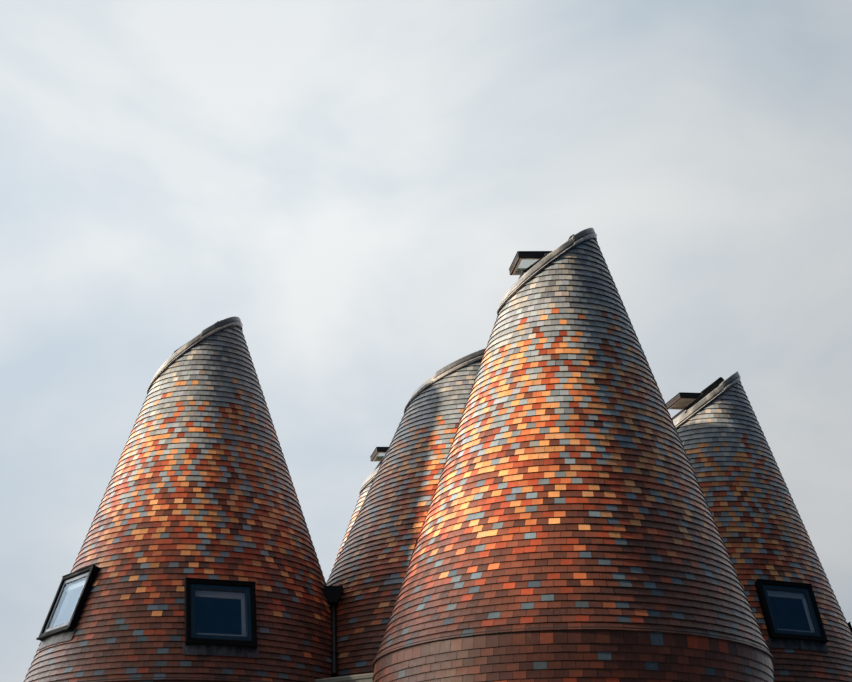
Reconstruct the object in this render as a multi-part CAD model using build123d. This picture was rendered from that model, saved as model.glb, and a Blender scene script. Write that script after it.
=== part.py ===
from build123d import *
import math
import os

# Contemporary oast house: four tile-hung round towers (roundels) set in a
# cross around a wider fifth one.  Each has a two-storey drum and, above the
# break line, a tall hollow cone cut off by a sloping plane with a lead capping,
# a roof deck and a centre-pivot roof window.  Narrow flat-roofed links close
# the gaps between neighbouring drums.  Millimetres, +Z up, ground at z = 0,
# origin under the middle of the whole plan.

os.makedirs("parts", exist_ok=True)

# ---------------------------------------------------------------- dimensions
TILE = 30.0            # depth of the hung tiles and battens outside the wall
PLINTH_TOP = 150.0     # top of the ground slab
FIRST_TOP = 2850.0     # top of the first floor
EAVES = 5850.0         # top of the second floor, foot of the cones
FLOOR_T = 250.0        # thickness of the upper floors
DRUM_T = 300.0         # drum wall thickness
CONE_T = 130.0         # cone wall thickness, measured level
OVERHANG = 40.0        # tiles of the cone stand this far outside the drum's
CAP_T = 40.0           # capping thickness over the wall head
CAP_DROP = 170.0       # height of the capping's outer skirt
CAP_PROUD = 15.0       # skirt outside the tile face
DECK_T = 80.0

# tower: axis x, y; virtual apex height; cone slope (run / rise); cut plane
# gradient in x and y and its height on the axis (top of the capping)
TOWERS = {
    "front":  (1180.0, -4675.0, 13470.0, 0.345, 0.790, 0.110, 11740.0),
    "left":   (-4250.0, -1125.0, 13470.0, 0.345, 0.790, 0.050, 11705.0),
    "right":  (4250.0, 1625.0, 13470.0, 0.345, 0.770, 0.200, 11766.0),
    "rear":   (-1050.0, 4675.0, 13470.0, 0.345, 0.820, 0.170, 11700.0),
    "centre": (133.0, 10.0, 13728.0, 0.429, 0.453, -0.044, 11597.0),
}
OUTER = ("front", "left", "right", "rear")

# windows in the cones: tower, azimuth (degrees from +X), height of the middle
CONE_WINDOWS = [
    ("left", 285.5, 6850.0), ("left", 217.0, 7180.0),
    ("right", 292.0, 7500.0), ("right", 10.0, 7180.0),
    ("front", 30.0, 6850.0), ("front", 155.0, 7180.0),
    ("rear", 60.0, 7180.0), ("rear", 125.0, 6850.0),
]
CW_W, CW_L = 1000.0, 1030.0        # width, length along the slope
DW_W, DW_H = 1000.0, 1250.0        # drum windows
DW_TURN = 40.0                     # either side of the tower's outward line
DW_SILLS = (1050.0, 3750.0)

# roof windows: distance of the middle downhill from the axis, tilt (None =
# closed, else degrees above level on the uphill side), height of the frame's
# upper half over the roof, height of the pivot over the roof
ROOF_WINDOWS = {
    "front": (215.0, 3.5, 68.0, 60.0), "left": (120.0, None, 60.0, 50.0),
    "right": (270.0, 3.5, 110.0, 40.0), "rear": (245.0, 3.5, 100.0, 42.0),
    "centre": (160.0, None, 60.0, 50.0),
}
RW_H = 60.0                        # height of the frame's lower half
RW_L, RW_W = 980.0, 780.0          # frame outside, along and across the slope
RW_IN_L, RW_IN_W = 890.0, 700.0    # frame inside
SASH_L, SASH_W, SASH_T = 860.0, 680.0, 80.0
SASH_RAIL = 85.0

DOOR_W, DOOR_HEAD = 1000.0, 2350.0
UP_HEAD = 4950.0
LINK_T = 200.0
LINK_TOP = 5940.0
LINK_ROOF_T = 200.0
COPING_T = 60.0

BIG = 9000.0


def face_r(name, z):
    """Radius of the hung tiles' face on a cone."""
    x, y, apex, t = TOWERS[name][:4]
    return (apex - z) * t


R_FACE = {n: face_r(n, EAVES) for n in TOWERS}
R_OUT = {n: R_FACE[n] - OVERHANG - TILE for n in TOWERS}   # drum wall outside
R_IN = {n: R_OUT[n] - DRUM_T for n in TOWERS}


def cyl(x, y, r, z0, z1):
    return Pos(x, y, (z0 + z1) / 2) * Cylinder(r, z1 - z0)


def cone(name, off, z0, z1):
    """Solid cone of a tower, its surface moved out by off."""
    x, y = TOWERS[name][:2]
    return Pos(x, y, (z0 + z1) / 2) * Cone(face_r(name, z0) + off,
                                           face_r(name, z1) + off, z1 - z0)


def cut_plane(name, lift=0.0, dx=0.0, dy=0.0):
    x, y, apex, t, m, n, z0 = TOWERS[name]
    return Plane(origin=(x + dx, y + dy, z0 + m * dx + n * dy + lift),
                 x_dir=(1, 0, m), z_dir=(-m, -n, 1))


def above(name, lift=0.0):
    """Everything above the tower's cut plane, lifted."""
    return cut_plane(name, lift) * Pos(0, 0, BIG / 2) * Box(BIG, BIG, BIG)


def solids_of(shape, smallest=2.0e5):
    return [s for s in shape.solids() if s.volume > smallest]


def one(shape):
    return max(shape.solids(), key=lambda s: s.volume)


def write(name, solids):
    if not isinstance(solids, (list, tuple)):
        solids = [solids]
    out = []
    for s in solids:
        out += list(s.solids())
    shape = out[0] if len(out) == 1 else Compound(children=out)
    shape.label = name
    export_step(shape, "parts/%s.step" % name)


def radial_box(name, az, z_mid, depth_in, depth_out, width, height, radius):
    """Box facing out along azimuth az, between two depths about a radius."""
    x, y = TOWERS[name][:2]
    a = math.radians(az)
    mid = radius + (depth_out - depth_in) / 2
    return (Pos(x + mid * math.cos(a), y + mid * math.sin(a), z_mid)
            * Rot(0, 0, az) * Box(depth_in + depth_out, width, height))


# ------------------------------------------------------------------- links
RING = ["left", "front", "right", "rear"]
cx, cy = TOWERS["centre"][:2]
LINKS = []
for i in range(4):
    a, b = RING[i], RING[(i + 1) % 4]
    ax, ay = TOWERS[a][:2]
    bx, by = TOWERS[b][:2]
    ln = math.hypot(bx - ax, by - ay)
    ux, uy = (bx - ax) / ln, (by - ay) / ln
    nx, ny = uy, -ux                     # outward
    dist = -((cx - ax) * nx + (cy - ay) * ny)
    out = max(360.0, R_OUT["centre"] + 140.0 + LINK_T - dist)
    LINKS.append(dict(a=a, b=b, mx=(ax + bx) / 2, my=(ay + by) / 2, ln=ln,
                      ang=math.degrees(math.atan2(uy, ux)), nx=nx, ny=ny,
                      out=out, px=cx + dist * nx, py=cy + dist * ny))


def link_box(k, inner, outer, z0, z1, along=None, at=0.0):
    """Box along a link, between two offsets outward of the centre line."""
    ln = k["ln"] if along is None else along
    ux, uy = -k["ny"], k["nx"]
    mid = (inner + outer) / 2
    return (Pos(k["mx"] + mid * k["nx"] + at * ux,
                k["my"] + mid * k["ny"] + at * uy, (z0 + z1) / 2)
            * Rot(0, 0, k["ang"]) * Box(ln, outer - inner, z1 - z0))


def link_area(z0, z1, back=0.0):
    """Prism over the plan inside the links' outer faces."""
    shape = None
    for k in LINKS:
        b = link_box(k, -2600.0, k["out"] - back, z0, z1)
        shape = b if shape is None else shape + b
    return shape


def drums(names, z0, z1, radii=None):
    radii = radii or R_OUT
    shape = None
    for n in names:
        x, y = TOWERS[n][:2]
        c = cyl(x, y, radii[n], z0, z1)
        shape = c if shape is None else shape + c
    return shape


# ------------------------------------------------------------ ground, floors
slab = drums(TOWERS, 0, PLINTH_TOP) + link_area(0, PLINTH_TOP)
write("ground_slab", one(slab))

drum_c = cyl(cx, cy, R_OUT["centre"], PLINTH_TOP, EAVES)
for node, top in (("first_floors", FIRST_TOP), ("second_floors", EAVES)):
    discs = []
    for n in TOWERS:
        x, y = TOWERS[n][:2]
        d = cyl(x, y, R_IN[n], top - FLOOR_T, top)
        if n != "centre":
            d = d - drum_c
        discs += solids_of(d)
    write(node, discs)

# ----------------------------------------------------------- outer drums
drum_frames, drum_glass = [], []
for n in OUTER:
    x, y = TOWERS[n][:2]
    az = math.degrees(math.atan2(y - cy, x - cx))
    ring = cyl(x, y, R_OUT[n], PLINTH_TOP, EAVES) - cyl(x, y, R_IN[n], PLINTH_TOP, EAVES)
    ring = ring - drum_c
    for s in (-1, 1):
        for sill in DW_SILLS:
            zc = sill + DW_H / 2
            wa = az + s * DW_TURN
            ring = ring - radial_box(n, wa, zc, 500, 300, DW_W, DW_H, R_OUT[n])
            f = radial_box(n, wa, zc, 110, 20, DW_W, DW_H, R_OUT[n])
            f = f - radial_box(n, wa, zc, 300, 300, DW_W - 130, DW_H - 130, R_OUT[n])
            drum_frames.append(f)
            drum_glass.append(radial_box(n, wa, zc, 55, -25, DW_W - 130, DW_H - 130, R_OUT[n]))
    for s, side in ((-1, "right"), (1, "left")):
        half = (Pos(x, y, EAVES / 2) * Rot(0, 0, az) * Pos(0, s * 3000, 0)
                * Box(12000, 6000, EAVES + 2000))
        write("%s_drum_wall_%s" % (n, side), one(ring & half))
write("drum_window_frames", drum_frames)
write("drum_window_glass", drum_glass)

# ----------------------------------------------------------- centre drum
ring = cyl(cx, cy, R_OUT["centre"], PLINTH_TOP, EAVES) - cyl(cx, cy, R_IN["centre"], PLINTH_TOP, EAVES)
doors = []
for n in OUTER:
    x, y = TOWERS[n][:2]
    doors.append((math.degrees(math.atan2(y - cy, x - cx)), True))
for k in LINKS:
    doors.append((math.degrees(math.atan2(k["ny"], k["nx"])), False))
piers, heads = ring, []
for az, upper in doors:
    bay = radial_box("centre", az, (PLINTH_TOP + EAVES) / 2, 700, 300,
                     DOOR_W, EAVES - PLINTH_TOP, R_OUT["centre"])
    piers = piers - bay
    spans = [(DOOR_HEAD, FIRST_TOP), (UP_HEAD, EAVES)] if upper else [(DOOR_HEAD, EAVES)]
    for z0, z1 in spans:
        heads.append(one(ring & radial_box("centre", az, (z0 + z1) / 2, 700, 300,
                                           DOOR_W, z1 - z0, R_OUT["centre"])))
write("centre_drum_piers", solids_of(piers))
write("centre_door_heads", heads)

# ----------------------------------------------------------- cones
cone_c = cone("centre", -TILE, EAVES - 1, 13000) + cyl(cx, cy, R_FACE["centre"] + 5, EAVES - 1, EAVES + 30)
frames, glass, aprons = [], [], []
WALL = {}
for n in TOWERS:
    x, y, apex, t = TOWERS[n][:4]
    w = cone(n, -TILE, EAVES, 12900) + cyl(x, y, R_FACE[n] + 5, EAVES, EAVES + 30)
    w = w - cone(n, -TILE - CONE_T, EAVES - 1, 12901) - above(n, -CAP_T)
    if n != "centre":
        w = w - cone_c
    for wn, az, zc in CONE_WINDOWS:
        if wn != n:
            continue
        a = math.radians(az)
        tilt = math.atan(t)
        r = face_r(n, zc)
        o = (x + r * math.cos(a), y + r * math.sin(a), zc)
        pl = Plane(origin=o, x_dir=(-math.sin(a), math.cos(a), 0),
                   z_dir=(math.cos(a) * math.cos(tilt), math.sin(a) * math.cos(tilt), math.sin(tilt)))
        w = w - pl * Pos(0, 0, 0) * Box(CW_W, CW_L, 900)
        f = pl * Pos(0, 0, -55) * Box(CW_W, CW_L, 190)
        f = f - pl * Box(CW_W - 130, CW_L - 130, 900)
        frames.append(f)
        glass.append(pl * Pos(0, 0, -10) * Box(CW_W - 130, CW_L - 130, 28))
        # lead apron under the frame, over the tiles
        z1 = zc - (CW_L / 2) * math.cos(tilt) + 25
        z0 = z1 - 175
        ap = cone(n, 10, z0, z1) - cone(n, -TILE, z0 - 1, z1 + 1)
        ap = ap & radial_box(n, az, (z0 + z1) / 2, 800, 400, CW_W + 60, 400, r)
        ap = ap - pl * Box(CW_W, CW_L, 900)
        aprons.append(one(ap))
    WALL[n] = one(w)
    write("%s_cone_wall" % n, WALL[n])
write("cone_window_frames", frames)
write("cone_window_glass", glass)
write("cone_window_aprons", aprons)

# ----------------------------------------------------------- rims and roofs
rw_frames, rw_sashes, rw_glass = [], [], []
for n in TOWERS:
    x, y, apex, t, m, nn, z0 = TOWERS[n]
    body = cone(n, CAP_PROUD, 9500, 13000) - above(n)
    skirt = body - cone(n, -TILE, 9499, 13001) - (
        cone(n, CAP_PROUD + 50, 9400, 13002) - above(n, -CAP_DROP))
    top = (body & above(n, -CAP_T)) - cone(n, -TILE - CONE_T, 9499, 13001)
    write("%s_rim_capping" % n, one(skirt + top))

    g = math.hypot(m, nn)
    dx, dy = -m / g, -nn / g                 # downhill
    mid, tilt, rise, h = ROOF_WINDOWS[n]
    slope = math.atan(g)
    zc = z0 - mid * g
    o = (x + mid * dx, y + mid * dy, zc)
    up = (-dx * math.cos(slope), -dy * math.cos(slope), math.sin(slope))
    normal = (dx * math.sin(slope), dy * math.sin(slope), math.cos(slope))
    pl = Plane(origin=o, x_dir=up, z_dir=normal)   # local x runs uphill

    deck = cone(n, -TILE - CONE_T, 9500, 13000) - above(n)
    deck = (deck & above(n, -DECK_T)) - pl * Box(RW_IN_L, RW_IN_W, 900)
    write("%s_roof_deck" % n, one(deck))

    f = pl * Pos(0, 0, RW_H / 2) * Box(RW_L, RW_W, RW_H)
    f = f + pl * Pos(RW_L / 4, 0, rise / 2) * Box(RW_L / 2, RW_W, rise)
    f = f - pl * Box(RW_IN_L, RW_IN_W, 900)
    for s in (-1, 1):
        p = (pl * Pos(0, s * (SASH_W / 2 + (RW_IN_W - SASH_W) / 4), min(h, RW_H - 15.0))
             * Box(40, (RW_IN_W - SASH_W) / 2, 30))
        f = f + p
    rw_frames.append(one(f))
    if tilt is None:
        sp = pl * Pos(0, 0, h)
    else:
        sp = pl * Pos(0, 0, h) * Rot(0, math.degrees(slope) - tilt, 0)
    s = sp * Box(SASH_L, SASH_W, SASH_T) - sp * Box(SASH_L - 2 * SASH_RAIL, SASH_W - 2 * SASH_RAIL, 300)
    rw_sashes.append(s)
    rw_glass.append(sp * Pos(0, 0, 12) * Box(SASH_L - 2 * SASH_RAIL, SASH_W - 2 * SASH_RAIL, 24))
write("roof_window_frames", rw_frames)
write("roof_window_sashes", rw_sashes)
write("roof_window_glass", rw_glass)

# ----------------------------------------------------------- links
outer_drums = drums(OUTER, PLINTH_TOP, EAVES)
tiles_env = None
for n in TOWERS:
    c = cone(n, 16, EAVES - 1, 9500)
    tiles_env = c if tiles_env is None else tiles_env + c
walls, roofs, copings, leaves, wins, panes = [], [], [], [], [], []
for k in LINKS:
    o = k["out"]
    w = link_box(k, o - LINK_T, o, PLINTH_TOP, LINK_TOP) - outer_drums - tiles_env
    gap = k["ln"] - 2 * math.sqrt(R_OUT["left"] ** 2 - o * o)
    dw = min(1000.0, gap - 240.0)
    w = w - link_box(k, o - 400, o + 200, PLINTH_TOP, DOOR_HEAD, along=dw)
    w = w - link_box(k, o - 400, o + 200, 2950, UP_HEAD, along=dw)
    walls.append(one(w))
    leaf = link_box(k, o - 130, o - 60, PLINTH_TOP, DOOR_HEAD, along=dw)
    leaf = leaf - link_box(k, o - 400, o + 200, PLINTH_TOP + 130, DOOR_HEAD - 110, along=dw - 200)
    leaves.append(leaf)
    panes.append(link_box(k, o - 108, o - 82, PLINTH_TOP + 130, DOOR_HEAD - 110, along=dw - 200))
    wf = link_box(k, o - 140, o - 50, 2950, UP_HEAD, along=dw)
    wf = wf - link_box(k, o - 400, o + 200, 2950 + 60, UP_HEAD - 60, along=dw - 120)
    wins.append(wf)
    panes.append(link_box(k, o - 108, o - 82, 2950 + 60, UP_HEAD - 60, along=dw - 120))
    cp = link_box(k, o - LINK_T - 30, o + 30, LINK_TOP, LINK_TOP + COPING_T) - tiles_env
    copings.append(one(cp))
    rf = (link_box(k, -2300, o - LINK_T, EAVES - LINK_ROOF_T, EAVES) - outer_drums
          - cyl(cx, cy, R_OUT["centre"], EAVES - 1000, EAVES))
    # keep the pocket beside this link's own wall
    best = min((s for s in rf.solids() if s.volume > 1e6),
               key=lambda s: (s.center().X - k["mx"] - (o - 300) * k["nx"]) ** 2
               + (s.center().Y - k["my"] - (o - 300) * k["ny"]) ** 2)
    roofs.append(best)
write("link_walls", walls)
write("link_doors", leaves)
write("link_window_frames", wins)
write("link_glass", panes)
write("link_copings", copings)
write("link_roofs", roofs)

# ----------------------------------------------------------- rainwater goods
P_TOP = Vector(-2139, -1625, 7341)
P_BOT = Vector(-2066, -2495, 6120)
axis = (P_BOT - P_TOP).normalized()
ln = (P_BOT - P_TOP).length
pipe = Plane(origin=P_TOP, z_dir=axis) * Pos(0, 0, ln / 2) * Cylinder(40, ln)
collar = Plane(origin=P_TOP + axis * (ln - 60), z_dir=axis) * Pos(0, 0, 30) * Cylinder(52, 60)
write("downpipe", one(pipe + collar - tiles_env))
with BuildSketch() as prof:
    Polygon((-131, 250), (131, 250), (131, 150), (55, 0), (-55, 0), (-131, 150), align=None)
hp = Plane(origin=P_TOP + Vector(0, 0, 0), x_dir=(1, 0, 0), z_dir=(0, -1, 0)) * Pos(0, 0, -110) * extrude(prof.sketch, 220)
hp = hp - Pos(P_TOP.X, P_TOP.Y, P_TOP.Z + 200) * Box(230, 188, 110)
hp = hp - (pipe + collar) - tiles_env
write("rain_hopper", one(hp))
print("towers", {n: (round(R_FACE[n]), round(R_OUT[n])) for n in TOWERS})
for k in LINKS:
    print("link", k["a"], k["b"], "out", round(k["out"]), "angle", round(k["ang"], 1))
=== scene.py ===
import bpy
import bmesh
import math
import random
import numpy as np
from mathutils import Matrix, Vector


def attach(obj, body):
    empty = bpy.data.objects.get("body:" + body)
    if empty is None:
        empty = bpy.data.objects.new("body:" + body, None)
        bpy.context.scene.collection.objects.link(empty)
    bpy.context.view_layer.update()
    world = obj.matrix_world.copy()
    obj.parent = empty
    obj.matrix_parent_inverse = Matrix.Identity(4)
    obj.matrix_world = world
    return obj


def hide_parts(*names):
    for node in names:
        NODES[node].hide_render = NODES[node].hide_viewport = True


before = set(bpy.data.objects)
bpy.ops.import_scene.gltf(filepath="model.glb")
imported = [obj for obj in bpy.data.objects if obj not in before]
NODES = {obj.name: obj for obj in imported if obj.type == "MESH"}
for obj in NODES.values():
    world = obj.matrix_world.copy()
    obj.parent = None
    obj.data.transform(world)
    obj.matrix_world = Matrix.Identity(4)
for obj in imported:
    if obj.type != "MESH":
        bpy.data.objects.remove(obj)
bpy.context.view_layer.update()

# ------------------------------------------------------------- dimensions (m)
EAVES, FIRST_TOP, PLINTH_TOP = 5.850, 2.850, 0.150
TOWERS = {  # x, y, apex z, run / rise, rim plane gradient x, y, height on axis
    "front": (1.180, -4.675, 13.470, 0.345, 0.790, 0.110, 11.740),
    "left": (-4.250, -1.125, 13.470, 0.345, 0.790, 0.050, 11.705),
    "right": (4.250, 1.625, 13.470, 0.345, 0.770, 0.200, 11.766),
    "rear": (-1.050, 4.675, 13.470, 0.345, 0.820, 0.170, 11.700),
    "centre": (0.133, 0.010, 13.728, 0.429, 0.453, -0.044, 11.597),
}
OUTER = ("front", "left", "right", "rear")
CONE_WINDOWS = [
    ("left", 285.5, 6.85), ("left", 217.0, 7.18),
    ("right", 292.0, 7.50), ("right", 10.0, 7.18),
    ("front", 30.0, 6.85), ("front", 155.0, 7.18),
    ("rear", 60.0, 7.18), ("rear", 125.0, 6.85),
]
CW_W, CW_L = 1.000, 1.030
DW_W, DW_H, DW_TURN, DW_SILLS = 1.000, 1.250, 40.0, (1.050, 3.750)
ROOF_WINDOWS = {  # middle downhill from the axis, tilt, upper half's height, pivot's height
    "front": (0.215, 3.5, 0.068, 0.060), "left": (0.120, None, 0.060, 0.050),
    "right": (0.270, 3.5, 0.110, 0.040), "rear": (0.245, 3.5, 0.100, 0.042),
    "centre": (0.160, None, 0.060, 0.050),
}
RW_H, RW_L, RW_W, RW_IN_L, RW_IN_W = 0.060, 0.980, 0.780, 0.890, 0.700
SASH_L, SASH_W, SASH_T, SASH_RAIL = 0.860, 0.680, 0.080, 0.085
DOOR_HEAD, UP_HEAD, LINK_T, LINK_TOP, COPING_T = 2.350, 4.950, 0.200, 5.940, 0.060
GAUGE, TILE_T = 0.100, 0.0150

CX, CY = TOWERS["centre"][:2]


def face_r(n, z):
    return (TOWERS[n][2] - z) * TOWERS[n][3]


R_FACE = {n: face_r(n, EAVES) for n in TOWERS}
R_OUT = {n: R_FACE[n] - 0.070 for n in TOWERS}

RING = ["left", "front", "right", "rear"]
LINKS = []
for i in range(4):
    a, b = RING[i], RING[(i + 1) % 4]
    ax, ay = TOWERS[a][:2]
    bx, by = TOWERS[b][:2]
    ln = math.hypot(bx - ax, by - ay)
    ux, uy = (bx - ax) / ln, (by - ay) / ln
    nx, ny = uy, -ux
    dist = -((CX - ax) * nx + (CY - ay) * ny)
    out = max(0.360, R_OUT["centre"] + 0.140 + LINK_T - dist)
    gap = ln - 2 * math.sqrt(R_OUT["left"] ** 2 - out * out)
    LINKS.append(dict(a=a, b=b, mx=(ax + bx) / 2, my=(ay + by) / 2, ln=ln, ux=ux, uy=uy,
                      nx=nx, ny=ny, out=out, gap=gap, dw=min(1.0, gap - 0.240)))


# ----------------------------------------------------------------- node helper
class Mat:
    """A Principled material with small helpers for its node tree."""

    def __init__(self, name, rough=0.6, metallic=0.0, ior=1.5):
        self.m = bpy.data.materials.new(name)
        self.m.use_nodes = True
        self.t = self.m.node_tree
        self.t.nodes.clear()
        out = self.add("ShaderNodeOutputMaterial")
        self.b = self.add("ShaderNodeBsdfPrincipled")
        self.t.links.new(self.b.outputs[0], out.inputs[0])
        self.b.inputs["Roughness"].default_value = rough
        self.b.inputs["Metallic"].default_value = metallic
        self.b.inputs["IOR"].default_value = ior
        self.co = self.add("ShaderNodeTexCoord").outputs["Object"]

    def add(self, kind):
        return self.t.nodes.new(kind)

    def put(self, sock, v):
        if isinstance(v, bpy.types.NodeSocket):
            self.t.links.new(v, sock)
        elif isinstance(v, (tuple, list)) and sock.type == "RGBA" and len(v) == 3:
            sock.default_value = (*v, 1.0)
        else:
            sock.default_value = v

    def attr(self, name, out="Fac"):
        n = self.add("ShaderNodeAttribute")
        n.attribute_name = name
        return n.outputs[out]

    def scaled(self, sx, sy, sz, co=None):
        n = self.add("ShaderNodeMapping")
        self.put(n.inputs["Vector"], co or self.co)
        n.inputs["Scale"].default_value = (sx, sy, sz)
        return n.outputs[0]

    def noise(self, scale, detail=3.0, rough=0.55, co=None, dist=0.0):
        n = self.add("ShaderNodeTexNoise")
        self.put(n.inputs["Vector"], co or self.co)
        n.inputs["Scale"].default_value = scale
        n.inputs["Detail"].default_value = detail
        n.inputs["Roughness"].default_value = rough
        n.inputs["Distortion"].default_value = dist
        return n.outputs["Fac"]

    def voronoi(self, scale, feature="F1", co=None, out="Distance"):
        n = self.add("ShaderNodeTexVoronoi")
        n.feature = feature
        self.put(n.inputs["Vector"], co or self.co)
        n.inputs["Scale"].default_value = scale
        return n.outputs[out]

    def math(self, op, a, b=0.0, clamp=False):
        n = self.add("ShaderNodeMath")
        n.operation = op
        n.use_clamp = clamp
        self.put(n.inputs[0], a)
        self.put(n.inputs[1], b)
        return n.outputs[0]

    def fit(self, v, a, b, c=0.0, d=1.0, smooth=False):
        n = self.add("ShaderNodeMapRange")
        n.interpolation_type = "SMOOTHSTEP" if smooth else "LINEAR"
        self.put(n.inputs["Value"], v)
        for k, x in zip(("From Min", "From Max", "To Min", "To Max"), (a, b, c, d)):
            n.inputs[k].default_value = x
        return n.outputs[0]

    def ramp(self, v, stops, mode="LINEAR"):
        n = self.add("ShaderNodeValToRGB")
        n.color_ramp.interpolation = mode
        e = n.color_ramp.elements
        while len(e) < len(stops):
            e.new(0.5)
        for i, (p, c) in enumerate(stops):
            e[i].position = p
        for i, (p, c) in enumerate(stops):
            e[i].color = (*c, 1.0)
        self.put(n.inputs[0], v)
        return n.outputs[0]

    def mix(self, fac, a, b, mode="MIX"):
        n = self.add("ShaderNodeMix")
        n.data_type = "RGBA"
        n.blend_type = mode
        self.put(n.inputs[0], fac)
        self.put(n.inputs[6], a)
        self.put(n.inputs[7], b)
        return n.outputs[2]

    def times(self, col, k):
        n = self.add("ShaderNodeVectorMath")
        n.operation = "SCALE"
        self.put(n.inputs[0], col)
        self.put(n.inputs["Scale"], k)
        return n.outputs[0]

    def xyz(self, co=None):
        n = self.add("ShaderNodeSeparateXYZ")
        self.put(n.inputs[0], co or self.co)
        return n.outputs

    def color(self, c):
        self.put(self.b.inputs["Base Color"], c)

    def rough(self, v):
        self.put(self.b.inputs["Roughness"], v)

    def bump(self, h, strength=0.3, dist=0.01):
        n = self.add("ShaderNodeBump")
        n.inputs["Strength"].default_value = strength
        n.inputs["Distance"].default_value = dist
        self.put(n.inputs["Height"], h)
        self.put(self.b.inputs["Normal"], n.outputs[0])


SHADES = [
    (0.080, 0.025, 0.015),   # dark red-brown
    (0.142, 0.041, 0.021),   # red-brown
    (0.300, 0.052, 0.018),   # orange-red
    (0.440, 0.125, 0.046),   # deep orange
    (0.580, 0.262, 0.098),   # orange-buff
    (0.226, 0.256, 0.280),   # blue-grey slate
    (0.150, 0.174, 0.198),   # darker slate
    (0.330, 0.308, 0.276),   # warm grey
]


def tile_material():
    m = Mat("hung_clay_tiles", rough=0.5)
    shade = m.attr("shade")
    rnd = m.attr("rnd")
    edge = m.attr("edge")
    head = m.attr("head")
    col = m.ramp(shade, [((i + 0.5) / 8, c) for i, c in enumerate(SHADES)])
    blotch = m.noise(9.0, 4.0, 0.6)
    fine = m.noise(70.0, 3.0, 0.6)
    weather = m.noise(0.9, 4.0, 0.6)
    streak = m.noise(3.2, 3.0, 0.55, co=m.scaled(1, 1, 0.12))
    # clay varies from tile to tile, slate much less
    slate = m.fit(shade, 0.60, 0.65)
    r2 = m.math("FRACT", m.math("MULTIPLY", rnd, 13.7))
    hue = m.ramp(r2, [(0.0, (1.12, 1.00, 0.88)), (0.45, (1.0, 1.0, 1.0)), (0.75, (0.97, 1.03, 1.0)), (1.0, (1.03, 0.96, 1.05))])
    col = m.mix(slate, col, hue, mode="MULTIPLY")
    # slates among the low brown courses are painted darker and bluer: painted shade over the lower courses
    low_slate_shade = m.fit(m.xyz()[2], 6.3, 9.2, 0.50, 1.0)
    col = m.times(col, m.math("SUBTRACT", 1.0, m.math("MULTIPLY", slate, m.math("SUBTRACT", 1.0, low_slate_shade))))
    col = m.mix(m.math("MULTIPLY", slate, m.fit(m.xyz()[2], 6.8, 9.6, 1.0, 0.0)), col, (0.80, 1.02, 1.16), mode="MULTIPLY")
    k = m.math("ADD", 1.0, m.fit(rnd, 0, 1, -0.30, 0.27))
    k = m.math("MULTIPLY", k, m.fit(blotch, 0.3, 0.7, 0.88, 1.10))
    k = m.math("MULTIPLY", k, m.fit(fine, 0.3, 0.7, 0.91, 1.07))
    k = m.math("MULTIPLY", k, m.fit(weather, 0.32, 0.68, 0.88, 1.09))
    k = m.math("MULTIPLY", k, m.fit(streak, 0.35, 0.62, 0.90, 1.04))
    col = m.times(col, k)
    # pale bloom on some clay tiles
    bloom = m.math("MULTIPLY", m.fit(m.noise(22.0, 4.0, 0.7), 0.56, 0.74), m.fit(m.noise(1.7, 2.0), 0.45, 0.65))
    col = m.mix(m.math("MULTIPLY", bloom, 0.26), col, (0.30, 0.27, 0.23))
    # all tiles darker towards the bottom: partly the tiles' own darker tone low down, partly painted shade standing in
    # for shadow over the lower walls
    low = m.fit(m.xyz()[2], 5.6, 7.4, 0.74, 1.0, smooth=True)
    col = m.times(col, low)
    # painted shadow on the top of each tile's face under the tail of the course above, and painted shade on the tail
    # and back faces, with darker side faces at the joints
    shadow = m.math("MULTIPLY", m.fit(head, 0.84, 0.97, 0.0, 0.62, smooth=True), m.math("SUBTRACT", 1.0, edge))
    dark = m.math("MAXIMUM", m.math("MULTIPLY", edge, 0.86), shadow)
    col = m.mix(dark, col, (0.018, 0.010, 0.007))
    m.color(col)
    m.rough(m.fit(m.math("ADD", m.math("MULTIPLY", blotch, 0.6), m.math("MULTIPLY", fine, 0.4)), 0.3, 0.7, 0.40, 0.58))
    m.b.inputs["Specular IOR Level"].default_value = 0.26
    m.b.inputs["Sheen Weight"].default_value = 0.05
    m.b.inputs["Sheen Roughness"].default_value = 0.45
    m.b.inputs["Sheen Tint"].default_value = (1.0, 0.93, 0.84, 1.0)
    m.bump(m.math("ADD", m.noise(160.0, 3.0, 0.6), m.math("MULTIPLY", blotch, 1.4)), 0.22, 0.004)
    return m.m


def lead_material(name, base=(0.115, 0.125, 0.135), pale=(0.36, 0.36, 0.35), amount=0.5):
    m = Mat(name, rough=0.5, metallic=0.0)
    big = m.noise(2.3, 5.0, 0.62, dist=0.6)
    fine = m.noise(26.0, 4.0, 0.62)
    run = m.noise(7.0, 3.0, 0.6, co=m.scaled(1, 1, 0.22))
    mixv = m.math("ADD", m.math("MULTIPLY", big, 0.55), m.math("MULTIPLY", run, 0.45))
    col = m.ramp(mixv, [(0.34, tuple(c * 0.62 for c in base)), (0.50, base),
                        (0.60, tuple(b + (p - b) * amount for b, p in zip(base, pale))), (0.74, pale)])
    streaks = m.noise(16.0, 3.0, 0.6, co=m.scaled(1, 1, 0.10))
    col = m.times(col, m.math("MULTIPLY", m.fit(fine, 0.3, 0.7, 0.86, 1.14), m.fit(streaks, 0.34, 0.66, 0.80, 1.16)))
    m.color(col)
    m.rough(m.fit(mixv, 0.35, 0.65, 0.32, 0.54))
    m.bump(m.math("ADD", m.math("MULTIPLY", big, 1.6), m.math("MULTIPLY", fine, 0.4)), 0.45, 0.012)
    return m.m


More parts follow.
